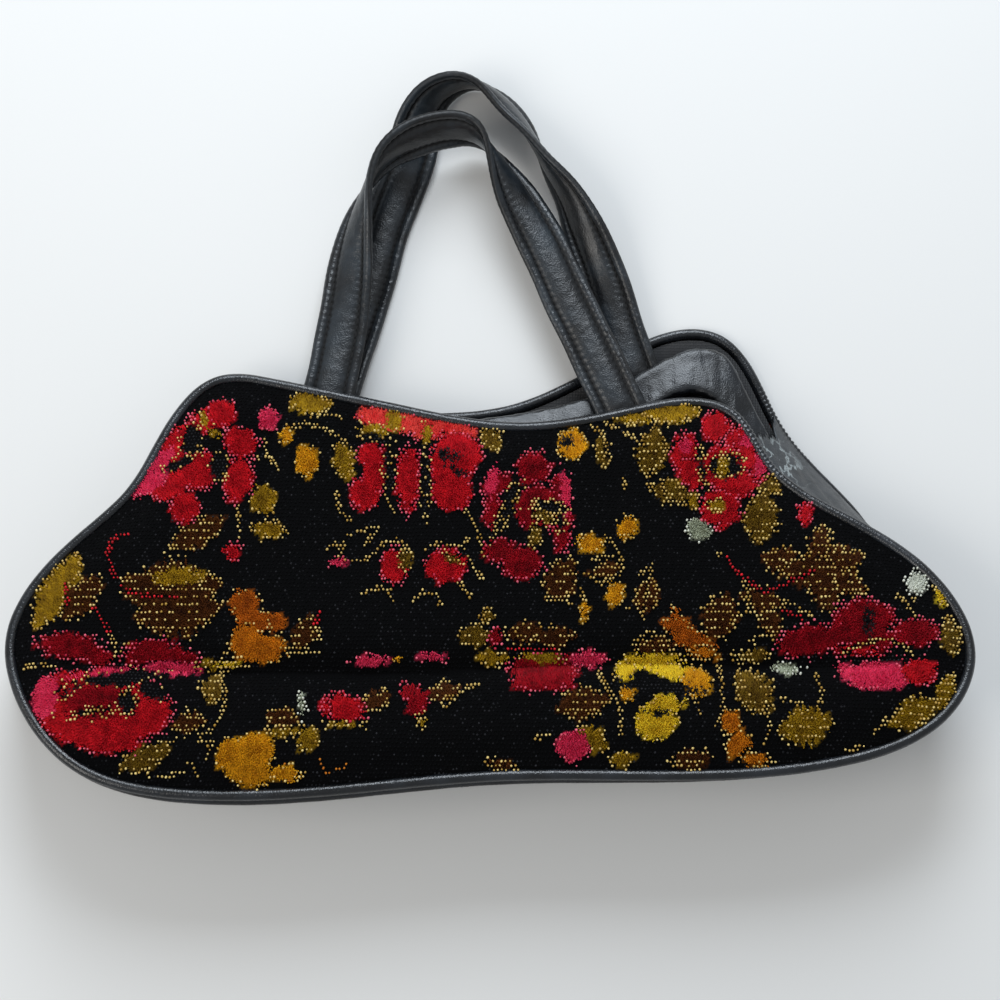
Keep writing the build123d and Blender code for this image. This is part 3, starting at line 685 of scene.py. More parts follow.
@dataclass
class Weave:
    """Which yarn stands where on a panel, and its colour: the dye, lifted by a painted highlight near each
    field's edge.

    The pitch is in millimetres, and the other lengths are in the photo's pixels.
    """

    pitch: float = 1.75
    fringe: float = 2.5
    sprig_half: float = 2.5
    sprig_share: float = 0.95
    hatch_share: float = 0.62
    wobble: float = 1.5
    scallop: float = 2.2
    scallop_pitch: float = 12.0
    gap_pitch: float = 27.0
    gap_level: float = -0.72
    broad_shade: float = 0.30
    broad_shade_pitch: float = 21.0
    fine_shade: float = 0.20
    fine_shade_pitch: float = 8.0
    yarn_shade: float = 0.20
    # rim_lift and the width below paint a highlight on the pile near each field's edge.
    rim_lift: float = 0.25
    painted_highlight_width: float = 9.0
    tooth: float = 0.22
    tooth_pace: float = 0.9
    leaf_point: float = 1.7
    speck_rarity: int = 9

    def depth(self, pixels: np.ndarray, shape: Shape, spot: tuple) -> np.ndarray:
        """How far pixels lie inside one spot of the pattern.

        Args:
            pixels: Places in the photo's frame, one a row.
            shape: The spot's form.
            spot: Its numbers, as a Field gives them.

        Returns:
            One depth in pixels for each place.
        """
        if shape is Shape.STROKE:
            nearest = np.full(len(pixels), np.inf)
            for start, end in zip(np.array(spot[:-1], dtype=float), np.array(spot[1:], dtype=float)):
                along = end - start
                share = np.clip((pixels - start) @ along / (along @ along), 0.0, 1.0)
                gap = np.linalg.norm(pixels - start - share[:, None] * along, axis=1)
                nearest = np.minimum(nearest, gap)
            return self.sprig_half - nearest
        x, y, length, width, turn = spot
        cosine, sine = math.cos(math.radians(turn)), math.sin(math.radians(turn))
        offset = pixels - (x, y)
        along = offset[:, 0] * cosine + offset[:, 1] * sine
        across = offset[:, 1] * cosine - offset[:, 0] * sine
        if shape is Shape.OVAL:
            return (1 - np.hypot(along / length, across / width)) * min(length, width)
        share = np.abs(along / length)
        teeth = 1 + self.tooth * np.sin(along * self.tooth_pace)
        half = width * teeth * (1 - share**self.leaf_point)
        return np.where(share < 1, half - np.abs(across), -abs(length))

    def paint(self, pixels: np.ndarray, rows: np.ndarray, seed: int) -> tuple:
        """Weave the pattern over a set of places.

        Args:
            pixels: Places in the photo's frame, one a row.
            rows: The row of the weave that each place is in.
            seed: Seed of the yarn's unevenness.

        Returns:
            Colours, one a row, the yarn's number at each place, and the number of its dye's family.
        """
        chance = np.random.default_rng(seed)
        count = len(pixels)
        uneven = chance.uniform(-1, 1, count)
        odd = chance.uniform(0, 1, count)
        broad = self.broad_shade * ripple(pixels, self.broad_shade_pitch, 0.4)
        fine = self.fine_shade * ripple(pixels, self.fine_shade_pitch, 2.4)
        tone = 0.5 + broad + fine + self.yarn_shade * uneven
        ragged = self.wobble * uneven + self.scallop * ripple(pixels, self.scallop_pitch, 3.0)
        broken = ripple(pixels, self.gap_pitch, 5.0) > self.gap_level
        colour = self.shade(Ink.BLACK, odd**self.speck_rarity)
        yarn = np.full(count, Yarn.GROUND.value)
        family = np.zeros(count, dtype=int)
        for item in PATTERN:
            depth = np.full(count, -np.inf)
            for spot in item.spots:
                depth = np.maximum(depth, self.depth(pixels, item.shape, spot))
            if item.shape is Shape.STROKE:
                depth = np.where(odd < self.sprig_share, depth, -1.0)
            else:
                depth = depth + ragged
            inside = depth > 0
            rim = (np.abs(depth) < self.fringe) & (odd < item.rim_share) & broken
            loops = rim | (inside & (item.fill is Fill.LOOPS))
            if item.fill is Fill.HATCH:
                loops |= inside & (rows % 2 == 0) & (odd < self.hatch_share)
            # Painted highlight: the dye is lifted towards its bright shade near each field's edge.
            painted_highlight_share = np.clip(1 - depth / self.painted_highlight_width, 0, 1)
            lift = np.clip(tone + self.rim_lift * painted_highlight_share, 0, 1)
            colour = np.where(inside[:, None], self.shade(item.ink, lift), colour)
            yarn = np.where(inside, (Yarn.GROUND if item.fill is Fill.BARE else Yarn.PILE).value, yarn)
            colour = np.where(loops[:, None], self.shade(item.rim, 0.5 + 0.5 * uneven), colour)
            shown = loops & (item.rim is not Ink.BLACK)
            yarn = np.where(shown, Yarn.LOOP.value, yarn)
            family = np.where(inside, list(Family).index(item.ink.family()), family)
        return colour, yarn, family

    def shade(self, ink: Ink, bright: np.ndarray) -> np.ndarray:
        """Mix an ink's deep and bright shades."""
        deep, light = (np.array(tone) for tone in ink.value)
        return deep + (light - deep) * np.clip(bright, 0, 1)[:, None]

    def under(self, pixels: np.ndarray, seed: int) -> np.ndarray:
        """Colour of the cloth below the yarns: black, and under the pile the pile's dye at half brightness,
        as painted shade.
        """
        colour, yarn, _ = self.paint(pixels, np.ones(len(pixels)), seed)
        piled = (yarn == Yarn.PILE.value)[:, None]
        # Painted shade: under the pile the cloth takes the pile's colour at half brightness.
        return np.where(piled, colour * 0.5, np.array(Ink.BLACK.value[0]))

    def rows_inside(self, loop: np.ndarray, pitch: float) -> np.ndarray:
        """Places of the weave inside a loop, in staggered rows.

        Args:
            loop: The closed outline, in millimetres.
            pitch: The distance between rows, and between places in a row.

        Returns:
            Flat places, each with the number of its row.
        """
        low, high = loop.min(axis=0), loop.max(axis=0)
        rows, columns = int((high[1] - low[1]) / pitch), int((high[0] - low[0]) / pitch)
        places = []
        for i in range(rows):
            shift = 0.5 * (i % 2)
            places += [(low[0] + (j + shift) * pitch, low[1] + i * pitch, i) for j in range(columns)]
        grid = np.array(places)
        return grid[depth_inside(grid[:, :2], loop) > 1.0]


WEAVE = Weave()


class Sheet:
    """A material under construction, with a principled surface."""

    def __init__(self, name: str) -> None:
        """Start a material with only its surface and output."""
        self.material = bpy.data.materials.new(name)
        self.material.use_nodes = True
        self.nodes = self.material.node_tree.nodes
        self.surface = next(n for n in self.nodes if n.type == "BSDF_PRINCIPLED")

    def add(self, kind: str, inputs: dict | None = None, **settings: object) -> bpy.types.Node:
        """Add a node.

        Args:
            kind: Blender's name of the node type.
            inputs: Values or sockets to link, by the input's name or number.
            settings: The node's own properties.

        Returns:
            The node.
        """
        node = self.nodes.new(kind)
        for key, value in settings.items():
            setattr(node, key, value)
        for key, value in (inputs or {}).items():
            self.feed(node.inputs[key], value)
        return node

    def feed(self, socket: bpy.types.NodeSocket, value: object) -> None:
        """Link a socket to another, or set its value."""
        if isinstance(value, bpy.types.NodeSocket):
            self.material.node_tree.links.new(value, socket)
        else:
            socket.default_value = value

    def place(self, scale: tuple = (1, 1, 1)) -> bpy.types.NodeSocket:
        """Object coordinates, stretched by scale."""
        coordinates = self.add("ShaderNodeTexCoord").outputs["Object"]
        return self.add("ShaderNodeMapping", {"Vector": coordinates, "Scale": scale}).outputs[0]

    def noise(self, scale: float, detail: float = 3.0, stretch: tuple = (1, 1, 1)) -> bpy.types.NodeSocket:
        """The height of a noise texture with features about 1/scale metres wide."""
        inputs = {"Vector": self.place(stretch), "Scale": scale, "Detail": detail}
        return self.add("ShaderNodeTexNoise", inputs).outputs[0]

    def ramp(self, height: bpy.types.NodeSocket, *stops: tuple) -> bpy.types.NodeSocket:
        """Turn a height into a colour by stops of (place, colour)."""
        node = self.add("ShaderNodeValToRGB", {0: height})
        band = node.color_ramp
        while len(band.elements) < len(stops):
            band.elements.new(0.5)
        for element, (spot, colour) in zip(band.elements, stops):
            element.position = spot
            element.color = (*colour, 1.0)
        return node.outputs[0]

    def mix(self, share: object, first: object, second: object, blend: str = "MIX") -> bpy.types.NodeSocket:
        """Blend two colours."""
        node = self.add("ShaderNodeMix", data_type="RGBA", blend_type=blend)
        for socket, value in ((node.inputs[0], share), (node.inputs[6], first), (node.inputs[7], second)):
            self.feed(socket, (*value, 1.0) if isinstance(value, tuple) else value)
        return node.outputs[2]

    def math(self, operation: str, first: object, second: object = 0.0) -> bpy.types.NodeSocket:
        """One sum of two values."""
        return self.add("ShaderNodeMath", {0: first, 1: second}, operation=operation).outputs[0]

    def bump(self, *layers: tuple) -> None:
        """Stack bumps, each (height socket, depth in metres), and feed the surface's normal."""
        normal = None
        for height, depth in layers:
            inputs = {"Height": height, "Distance": depth, "Strength": 1.0}
            if normal is not None:
                inputs["Normal"] = normal
            normal = self.add("ShaderNodeBump", inputs).outputs[0]
        self.feed(self.surface.inputs["Normal"], normal)

    def set(self, **values: object) -> bpy.types.Material:
        """Set the surface's sockets by name, with spaces written as underscores, and give the material."""
        for key, value in values.items():
            self.feed(self.surface.inputs[key.replace("_", " ")], value)
        return self.material


@dataclass(frozen=True)
class Vinyl:
    """Satin black vinyl with a fine grain, soft wrinkles and paler worn patches.

    A channelled piece has a "relief" attribute, 0 in its seams and 1 on its rolls; its seams are painted
    near-black as shade. A creased one has pale cracks and dust where it faces up.
    """

    name: str
    tone: tuple = (0.0035, 0.004, 0.005)
    worn: tuple = (0.013, 0.016, 0.020)
    gloss: float = 0.27
    wrinkle: float = 0.00035
    grain: float = 0.00010
    coat: float = 0.15
    channelled: bool = False
    creased: bool = False
    crease_place: tuple = (0.130, 0.060, 0.020)
    dust: tuple = (0.10, 0.115, 0.13)
    crack: tuple = (0.34, 0.38, 0.38)
    # Colour and roughness of a channelled piece's seams; the colour is painted shade.
    seam: tuple = (0.0008, 0.0008, 0.001)
    seam_rough: tuple = (0.85, 0.85, 0.85)

    def cracks(self, sheet: Sheet, colour: bpy.types.NodeSocket) -> bpy.types.NodeSocket:
        """Add dust and pale cracks to what faces up."""
        facing = sheet.add("ShaderNodeSeparateXYZ", {0: sheet.add("ShaderNodeNewGeometry").outputs["Normal"]})
        upward = sheet.math("SUBTRACT", facing.outputs[2], 0.35)
        streaks = sheet.noise(500.0, 6.0, (1.0, 0.4, 1.0))
        dusty = sheet.math("MULTIPLY", sheet.math("MAXIMUM", upward, 0.0), streaks)
        colour = sheet.mix(dusty, colour, self.dust)
        wander = sheet.noise(85.0, 5.0, (1.0, 0.6, 1.0))
        ridge = sheet.math("ABSOLUTE", sheet.math("SUBTRACT", wander, 0.5))
        line = sheet.ramp(ridge, (0.0, (1, 1, 1)), (0.018, (0, 0, 0)))
        ends = {0: sheet.place(), 1: self.crease_place}
        away = sheet.add("ShaderNodeVectorMath", ends, operation="DISTANCE").outputs["Value"]
        patch = sheet.ramp(away, (0.010, (1, 1, 1)), (0.020, (0, 0, 0)))
        lit = sheet.ramp(sheet.math("MULTIPLY", upward, 3.0), (0.0, (0, 0, 0)), (0.5, (1, 1, 1)))
        shown = sheet.math("MULTIPLY", sheet.math("MULTIPLY", line, patch), lit)
        return sheet.mix(shown, colour, self.crack)

    def material(self) -> bpy.types.Material:
        """Build the material."""
        sheet = Sheet(self.name)
        cells = {"Vector": sheet.place(), "Scale": 1500.0}
        grain = sheet.add("ShaderNodeTexVoronoi", cells).outputs["Distance"]
        folds = sheet.noise(190.0, 5.0)
        patches = sheet.ramp(sheet.noise(60.0, 5.0), (0.40, (0, 0, 0)), (0.72, (1, 1, 1)))
        colour = sheet.mix(patches, self.tone, self.worn)
        low = sheet.ramp(sheet.noise(140.0, 4.0), (0.3, (self.gloss,) * 3), (0.8, (self.gloss + 0.16,) * 3))
        if self.channelled:
            relief = sheet.add("ShaderNodeAttribute", attribute_name="relief").outputs["Fac"]
            # Painted shade: a channelled piece's seams are darkened to near-black, as the shade falls there.
            seam = sheet.ramp(relief, (0.30, (0, 0, 0)), (0.72, (1, 1, 1)))
            colour = sheet.mix(seam, self.seam, colour)
            low = sheet.mix(seam, self.seam_rough, low)
        if self.creased:
            colour = self.cracks(sheet, colour)
        sheet.bump((folds, self.wrinkle), (grain, self.grain))
        sheet.set(Base_Color=colour, Roughness=low, Specular_IOR_Level=0.5)
        return sheet.set(Coat_Weight=self.coat, Coat_Roughness=0.16)


@dataclass(frozen=True)
class YarnFinish:
    """Woven yarn that takes its dye from the piece's own colours."""

    name: str
    rough: float = 0.85
    sheen: float = 0.25
    shine: float = 0.25

    def material(self) -> bpy.types.Material:
        """Build the material."""
        sheet = Sheet(self.name)
        dye = sheet.add("ShaderNodeAttribute", attribute_name="dye").outputs["Color"]
        uneven = sheet.ramp(sheet.noise(1500.0, 2.0), (0.3, (0.72,) * 3), (0.7, (1.2,) * 3))
        colour = sheet.mix(1.0, dye, uneven, "MULTIPLY")
        sheet.bump((sheet.noise(5200.0, 2.0), 0.00018))
        sheet.set(Base_Color=colour, Roughness=self.rough, Specular_IOR_Level=self.shine)
        return sheet.set(Sheen_Weight=self.sheen, Sheen_Roughness=0.4)


@dataclass(frozen=True)
class Cloth:
    """Plain woven lining."""

    name: str
    tone: tuple = (0.006, 0.006, 0.007)

    def material(self) -> bpy.types.Material:
        """Build the material."""
        sheet = Sheet(self.name)
        way = {"Vector": sheet.place(), "Scale": 420.0, "Distortion": 0.6}
        warp = sheet.add("ShaderNodeTexWave", way).outputs[1]
        weft = sheet.add("ShaderNodeTexWave", way, bands_direction="Y").outputs[1]
        threads = sheet.math("ADD", warp, weft)
        pale = tuple(2.2 * part for part in self.tone)
        colour = sheet.mix(sheet.noise(60.0, 4.0), self.tone, pale)
        sheet.bump((threads, 0.00015))
        return sheet.set(Base_Color=colour, Roughness=0.9, Sheen_Weight=0.15)


@dataclass(frozen=True)
class Metal:
    """Drawn or plated metal."""

    name: str
    tone: tuple
    rough: float

    def material(self) -> bpy.types.Material:
        """Build the material."""
        sheet = Sheet(self.name)
        streaks = sheet.noise(900.0, 4.0, (0.05, 1.0, 1.0))
        low = sheet.ramp(streaks, (0.3, (self.rough,) * 3), (0.7, (self.rough + 0.18,) * 3))
        dull = tuple(0.7 * part for part in self.tone)
        sheet.bump((streaks, 0.00004))
        colour = sheet.mix(sheet.noise(150.0), self.tone, dull)
        return sheet.set(Base_Color=colour, Metallic=1.0, Roughness=low)


@dataclass(frozen=True)
class FibreBoard:
    """Grey-brown fibre board."""

    name: str = "fibre_board"
    deep: tuple = (0.20, 0.16, 0.11)
    tone: tuple = (0.36, 0.30, 0.22)
    pale: tuple = (0.50, 0.44, 0.34)

    def material(self) -> bpy.types.Material:
        """Build the material."""
        sheet = Sheet(self.name)
        flecks = sheet.noise(700.0, 6.0, (0.3, 1.0, 1.0))
        colour = sheet.ramp(flecks, (0.3, self.deep), (0.55, self.tone), (0.8, self.pale))
        sheet.bump((flecks, 0.0002))
        return sheet.set(Base_Color=colour, Roughness=0.92)


def new_mesh(name: str, verts: np.ndarray, faces: list, smooth: bool = True) -> bpy.types.Object:
    """Make an object from points in millimetres.

    Args:
        name: The object's name.
        verts: Points, one a row.
        faces: Tuples of point numbers.
        smooth: Whether its shading is smooth.

    Returns:
        The linked object, at the origin.
    """
    data = bpy.data.meshes.new(name)
    data.from_pydata((np.asarray(verts) * MM).tolist(), [], faces)
    if smooth:
        data.polygons.foreach_set("use_smooth", [True] * len(data.polygons))
    data.update()
    made = bpy.data.objects.new(name, data)
    bpy.context.scene.collection.objects.link(made)
    return made


def paint_points(piece: bpy.types.Object, colour: np.ndarray) -> None:
    """Store one dye for each point of a mesh."""
    layer = piece.data.attributes.new("dye", "FLOAT_COLOR", "POINT")
    full = np.column_stack([colour, np.ones(len(colour))]).astype(np.float32)
    layer.data.foreach_set("color", full.ravel())


def bake_modifiers(piece: bpy.types.Object) -> None:
    """Replace a piece's mesh by what its modifiers make, and remove them."""
    bpy.context.view_layer.update()
    graph = bpy.context.evaluated_depsgraph_get()
    evaluated = piece.evaluated_get(graph)
    data = bpy.data.meshes.new_from_object(evaluated, preserve_all_data_layers=True, depsgraph=graph)
    piece.modifiers.clear()
    old = piece.data
    piece.data = data
    bpy.data.meshes.remove(old)
    data.name = piece.name


def thicken(piece: bpy.types.Object, thickness: float) -> None:
    """Add a modifier that gives a sheet a thickness in millimetres, behind its faces."""
    wall = piece.modifiers.new("thickness", "SOLIDIFY")
    wall.thickness = thickness * MM
    wall.offset = -1.0


def grid_faces(rows: int, columns: int, wrap: bool = False) -> list:
    """Quads between the points of a grid, row by row, closed round each row if wrap is set."""
    faces = []
    for i in range(rows - 1):
        for j in range(columns if wrap else columns - 1):
            k = (j + 1) % columns
            faces.append((i * columns + j, i * columns + k, (i + 1) * columns + k, (i + 1) * columns + j))
    return faces


@dataclass
class Scatter:
    """A node tree that stands one small shape on each point of a mesh. Sizes are in millimetres."""

    name: str
    unit: Unit
    finish: bpy.types.Material
    radius: float
    height: float
    lean: float = 0.0
    least: float = 1.0
    most: float = 1.0
    seed: int = SEED

    def unit_socket(self, tree: bpy.types.NodeTree, inlet: bpy.types.Node) -> bpy.types.NodeSocket:
        """Build the small shape inside the tree and give its geometry."""
        new, link = tree.nodes.new, tree.links.new
        if self.unit is Unit.FIBRE:
            shape = new("GeometryNodeMeshCone")
            shape.fill_type = "NONE"
            shape.inputs["Vertices"].default_value = 3
            shape.inputs["Radius Top"].default_value = 0.0
            link(inlet.outputs["Radius"], shape.inputs["Radius Bottom"])
            link(inlet.outputs["Height"], shape.inputs["Depth"])
            return shape.outputs["Mesh"]
        if self.unit is Unit.STITCH:
            shape = new("GeometryNodeMeshCylinder")
            shape.inputs["Vertices"].default_value = 6
            link(inlet.outputs["Radius"], shape.inputs["Radius"])
            link(inlet.outputs["Height"], shape.inputs["Depth"])
            return shape.outputs["Mesh"]
        shape = new("GeometryNodeMeshUVSphere")
        low = self.unit is Unit.LOW_LOOP
        shape.inputs["Segments"].default_value = 4 if low else 6
        shape.inputs["Rings"].default_value = 2 if low else 3
        shape.inputs["Radius"].default_value = 1.0
        sizes = new("ShaderNodeCombineXYZ")
        for axis, source in (("X", "Radius"), ("Y", "Radius"), ("Z", "Height")):
            link(inlet.outputs[source], sizes.inputs[axis])
        stretch = new("GeometryNodeTransform")
        link(shape.outputs["Mesh"], stretch.inputs["Geometry"])
        link(sizes.outputs[0], stretch.inputs["Scale"])
        return stretch.outputs["Geometry"]

    def tree(self) -> bpy.types.NodeTree:
        """Build the node tree with its named inputs."""
        tree = bpy.data.node_groups.new(self.name, "GeometryNodeTree")
        face = tree.interface
        face.new_socket("Geometry", in_out="INPUT", socket_type="NodeSocketGeometry")
        for title in ("Radius", "Height", "Lean", "Least Size", "Most Size"):
            face.new_socket(title, in_out="INPUT", socket_type="NodeSocketFloat")
        face.new_socket("Seed", in_out="INPUT", socket_type="NodeSocketInt")
        face.new_socket("Finish", in_out="INPUT", socket_type="NodeSocketMaterial")
        face.new_socket("Geometry", in_out="OUTPUT", socket_type="NodeSocketGeometry")
        new, link = tree.nodes.new, tree.links.new
        inlet, outlet = new("NodeGroupInput"), new("NodeGroupOutput")
        smooth = new("GeometryNodeSetShadeSmooth")
        link(self.unit_socket(tree, inlet), smooth.inputs["Geometry"])
        stand = new("GeometryNodeInputNamedAttribute")
        stand.data_type = "FLOAT_VECTOR"
        stand.inputs["Name"].default_value = "stand"
        sway = new("FunctionNodeRandomValue")
        sway.data_type = "FLOAT_VECTOR"
        sway.inputs[0].default_value = (-1, -1, -1)
        link(inlet.outputs["Seed"], sway.inputs["Seed"])
        scaled = new("ShaderNodeVectorMath")
        scaled.operation = "SCALE"
        link(sway.outputs[0], scaled.inputs[0])
        link(inlet.outputs["Lean"], scaled.inputs["Scale"])
        total = new("ShaderNodeVectorMath")
        link(stand.outputs["Attribute"], total.inputs[0])
        link(scaled.outputs[0], total.inputs[1])
        turn = new("FunctionNodeAlignRotationToVector")
        turn.axis = "Z"
        link(total.outputs[0], turn.inputs["Vector"])
        size = new("FunctionNodeRandomValue")
        size.data_type = "FLOAT"
        link(inlet.outputs["Least Size"], size.inputs[2])
        link(inlet.outputs["Most Size"], size.inputs[3])
        link(inlet.outputs["Seed"], size.inputs["Seed"])
        stood = new("GeometryNodeInstanceOnPoints")
        link(inlet.outputs["Geometry"], stood.inputs["Points"])
        link(smooth.outputs[0], stood.inputs["Instance"])
        link(turn.outputs[0], stood.inputs["Rotation"])
        link(size.outputs[1], stood.inputs["Scale"])
        real = new("GeometryNodeRealizeInstances")
        link(stood.outputs[0], real.inputs[0])
        dressed = new("GeometryNodeSetMaterial")
        link(real.outputs[0], dressed.inputs["Geometry"])
        link(inlet.outputs["Finish"], dressed.inputs["Material"])
        link(dressed.outputs[0], outlet.inputs[0])
        return tree

    def stand(
        self, places: np.ndarray, ways: np.ndarray, colour: np.ndarray | None = None
    ) -> bpy.types.Object:
        """Stand the shape on each place.

        Args:
            places: Points in millimetres, one a row.
            ways: The direction in which each shape stands.
            colour: The dye of each shape, if it has one.

        Returns:
            The finished piece, as a plain mesh.
        """
        piece = new_mesh(self.name, places, [], smooth=False)
        layer = piece.data.attributes.new("stand", "FLOAT_VECTOR", "POINT")
        layer.data.foreach_set("vector", np.asarray(ways, dtype=np.float32).ravel())
        if colour is not None:
            paint_points(piece, colour)
        tree = self.tree()
        modifier = piece.modifiers.new("scatter", "NODES")
        modifier.node_group = tree
        values = {
            "Radius": self.radius * MM,
            "Height": self.height * MM,
            "Lean": self.lean,
            "Least Size": self.least,
            "Most Size": self.most,
            "Seed": self.seed,
            "Finish": self.finish,
        }
        for item in tree.interface.items_tree:
            if item.in_out == "INPUT" and item.name in values:
                modifier[item.identifier] = values[item.name]
        bake_modifiers(piece)
        if not piece.data.materials:
            piece.data.materials.append(self.finish)
        return piece


def ride_fold(piece: bpy.types.Object) -> None:
    """Bake a piece's placement into its mesh."""
    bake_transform(piece)


def clipped_grid(loop: np.ndarray, pitch: float) -> tuple:
    """A square grid inside a loop, its edge drawn out to the loop.

    Args:
        loop: The closed outline, in millimetres.
        pitch: The grid's step.

    Returns:
        Flat points, one a row, and the faces between them.
    """
    low, high = loop.min(axis=0), loop.max(axis=0)
    xs = np.arange(low[0], high[0] + pitch, pitch)
    ys = np.arange(low[1], high[1] + pitch, pitch)
    flat = np.array([(x, y) for y in ys for x in xs])
    kept = depth_inside(flat, loop) > 0.35 * pitch
    quads = [q for q in grid_faces(len(ys), len(xs)) if all(kept[i] for i in q)]
    used = sorted({i for q in quads for i in q})
    number = {old: new for new, old in enumerate(used)}
    flat = flat[used]
    quads = [tuple(number[i] for i in q) for q in quads]
    sides: dict = {}
    for q in quads:
        for i in range(4):
            side = tuple(sorted((q[i], q[(i + 1) % 4])))
            sides[side] = sides.get(side, 0) + 1
    edge = sorted({i for side, uses in sides.items() if uses == 1 for i in side})
    dense = even_steps(loop, 2400, True)
    for i in edge:
        flat[i] = dense[np.argmin(np.linalg.norm(dense - flat[i], axis=1))]
    return flat, quads


@dataclass
class FrontPanel:
    """The flowered front panel: its cloth, its loops and its cut pile, in millimetres."""

    edge: float = 3.2
    cloth_pitch: float = 2.2
    cloth_thickness: float = 1.4
    loop_height: float = 0.55
    loop_radius: float = 0.62
    rim_height: float = 0.80
    rim_radius: float = 0.56
    pile_height: float = 1.75
    pile_radius: float = 0.50
    pile_across: int = 3
    pile_fall: float = 0.15
    yarn_shift: float = 0.14
    pile_shift: float = 0.15
    rim_lift: float = 0.9

    def surface(self, flat: np.ndarray, over: float) -> tuple:
        """Where flat points lie on the folded panel, and the way up from it there."""
        relief = CUT.relief(flat)
        step = 0.8
        right = CUT.relief(flat + (step, 0)) - relief
        ahead = CUT.relief(flat + (0, step)) - relief
        ways = np.column_stack([-right / step, -ahead / step, np.ones(len(flat))])
        sine, cosine = math.sin(CUT.slope), math.cos(CUT.slope)
        ahead = ways[:, 1] * cosine + ways[:, 2] * sine
        upward = -ways[:, 1] * sine + ways[:, 2] * cosine
        turned = np.column_stack([ways[:, 0], ahead, upward])
        turned /= np.linalg.norm(turned, axis=1)[:, None]
        return CUT.on_front(flat, relief + over), turned

    def build(self) -> None:
        """Build the panel's cloth and its yarns."""
        loop = CUT.front_loop(self.edge, 420)
        flat, faces = clipped_grid(loop, self.cloth_pitch)
        places, _ = self.surface(flat, 0.2)
        cloth = new_mesh("front_carpet_cloth", places, faces)
        paint_points(cloth, WEAVE.under(VIEW.pixels(places), SEED))
        cloth.data.materials.append(YarnFinish("ground_cloth", rough=1.0, sheen=0.0, shine=0.1).material())
        thicken(cloth, self.cloth_thickness)
        bake_modifiers(cloth)
        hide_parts("front_panel")
        ride_fold(cloth)
        self.yarns(loop)

    def yarns(self, loop: np.ndarray) -> None:
        """Stand the loops and the cut pile on the cloth."""
        plain = YarnFinish("ground_yarn", rough=1.0, sheen=0.0, shine=0.12).material()
        bright = YarnFinish("loop_yarn", rough=0.6, sheen=0.0, shine=0.3).material()
        pile = YarnFinish("cut_pile_yarn", rough=0.9, sheen=0.06, shine=0.12).material()
        pitch = WEAVE.pitch
        grid = WEAVE.rows_inside(loop, pitch)
        chance = np.random.default_rng(SEED)
        flat = grid[:, :2] + chance.uniform(-self.yarn_shift, self.yarn_shift, (len(grid), 2)) * pitch
        places, ways = self.surface(flat, 0.3)
        colour, yarn, _ = WEAVE.paint(VIEW.pixels(places), grid[:, 2], SEED)
        looped = yarn == Yarn.LOOP.value
        bare = yarn == Yarn.GROUND.value
        base = Scatter("front_ground_loops", Unit.LOW_LOOP, plain, self.loop_radius, self.loop_height)
        base.lean, base.least, base.most = 0.25, 0.8, 1.1
        self.settle(base.stand(places[bare], ways[bare], colour[bare]))
        rim = Scatter("front_flower_loops", Unit.LOOP, bright, self.rim_radius, self.rim_height)
        rim.lean, rim.least, rim.most = 0.35, 0.75, 1.2
        lifted = places[looped] + ways[looped] * self.rim_lift
        self.settle(rim.stand(lifted, ways[looped], colour[looped]))
        steps = (np.arange(self.pile_across) - (self.pile_across - 1) / 2) / self.pile_across * pitch
        tufts = np.vstack([flat + (right, ahead) for right in steps for ahead in steps])
        tufts = tufts + chance.uniform(-self.pile_shift, self.pile_shift, tufts.shape) * pitch
        places, ways = self.surface(tufts, 0.1)
        colour, yarn, family = WEAVE.paint(VIEW.pixels(places), np.ones(len(tufts)), SEED + 1)
        piled = (yarn == Yarn.PILE.value) & (depth_inside(tufts, loop) > 0.6)
        ways[:, 1] -= self.pile_fall
        for number, kind in enumerate(Family):
            own = piled & (family == number)
            title = "front_" + kind.name.lower() + "_cut_pile"
            brush = Scatter(title, Unit.FIBRE, pile, self.pile_radius, self.pile_height)
            brush.lean, brush.least, brush.most = 0.28, 0.8, 1.15
            piece = brush.stand(places[own], ways[own], colour[own])
            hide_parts(kind.value)
            self.settle(piece)

    def settle(self, piece: bpy.types.Object) -> None:
        """Finish a yarn piece of the front panel."""
        ride_fold(piece)
        log.info("%s: %d faces", piece.name, len(piece.data.polygons))


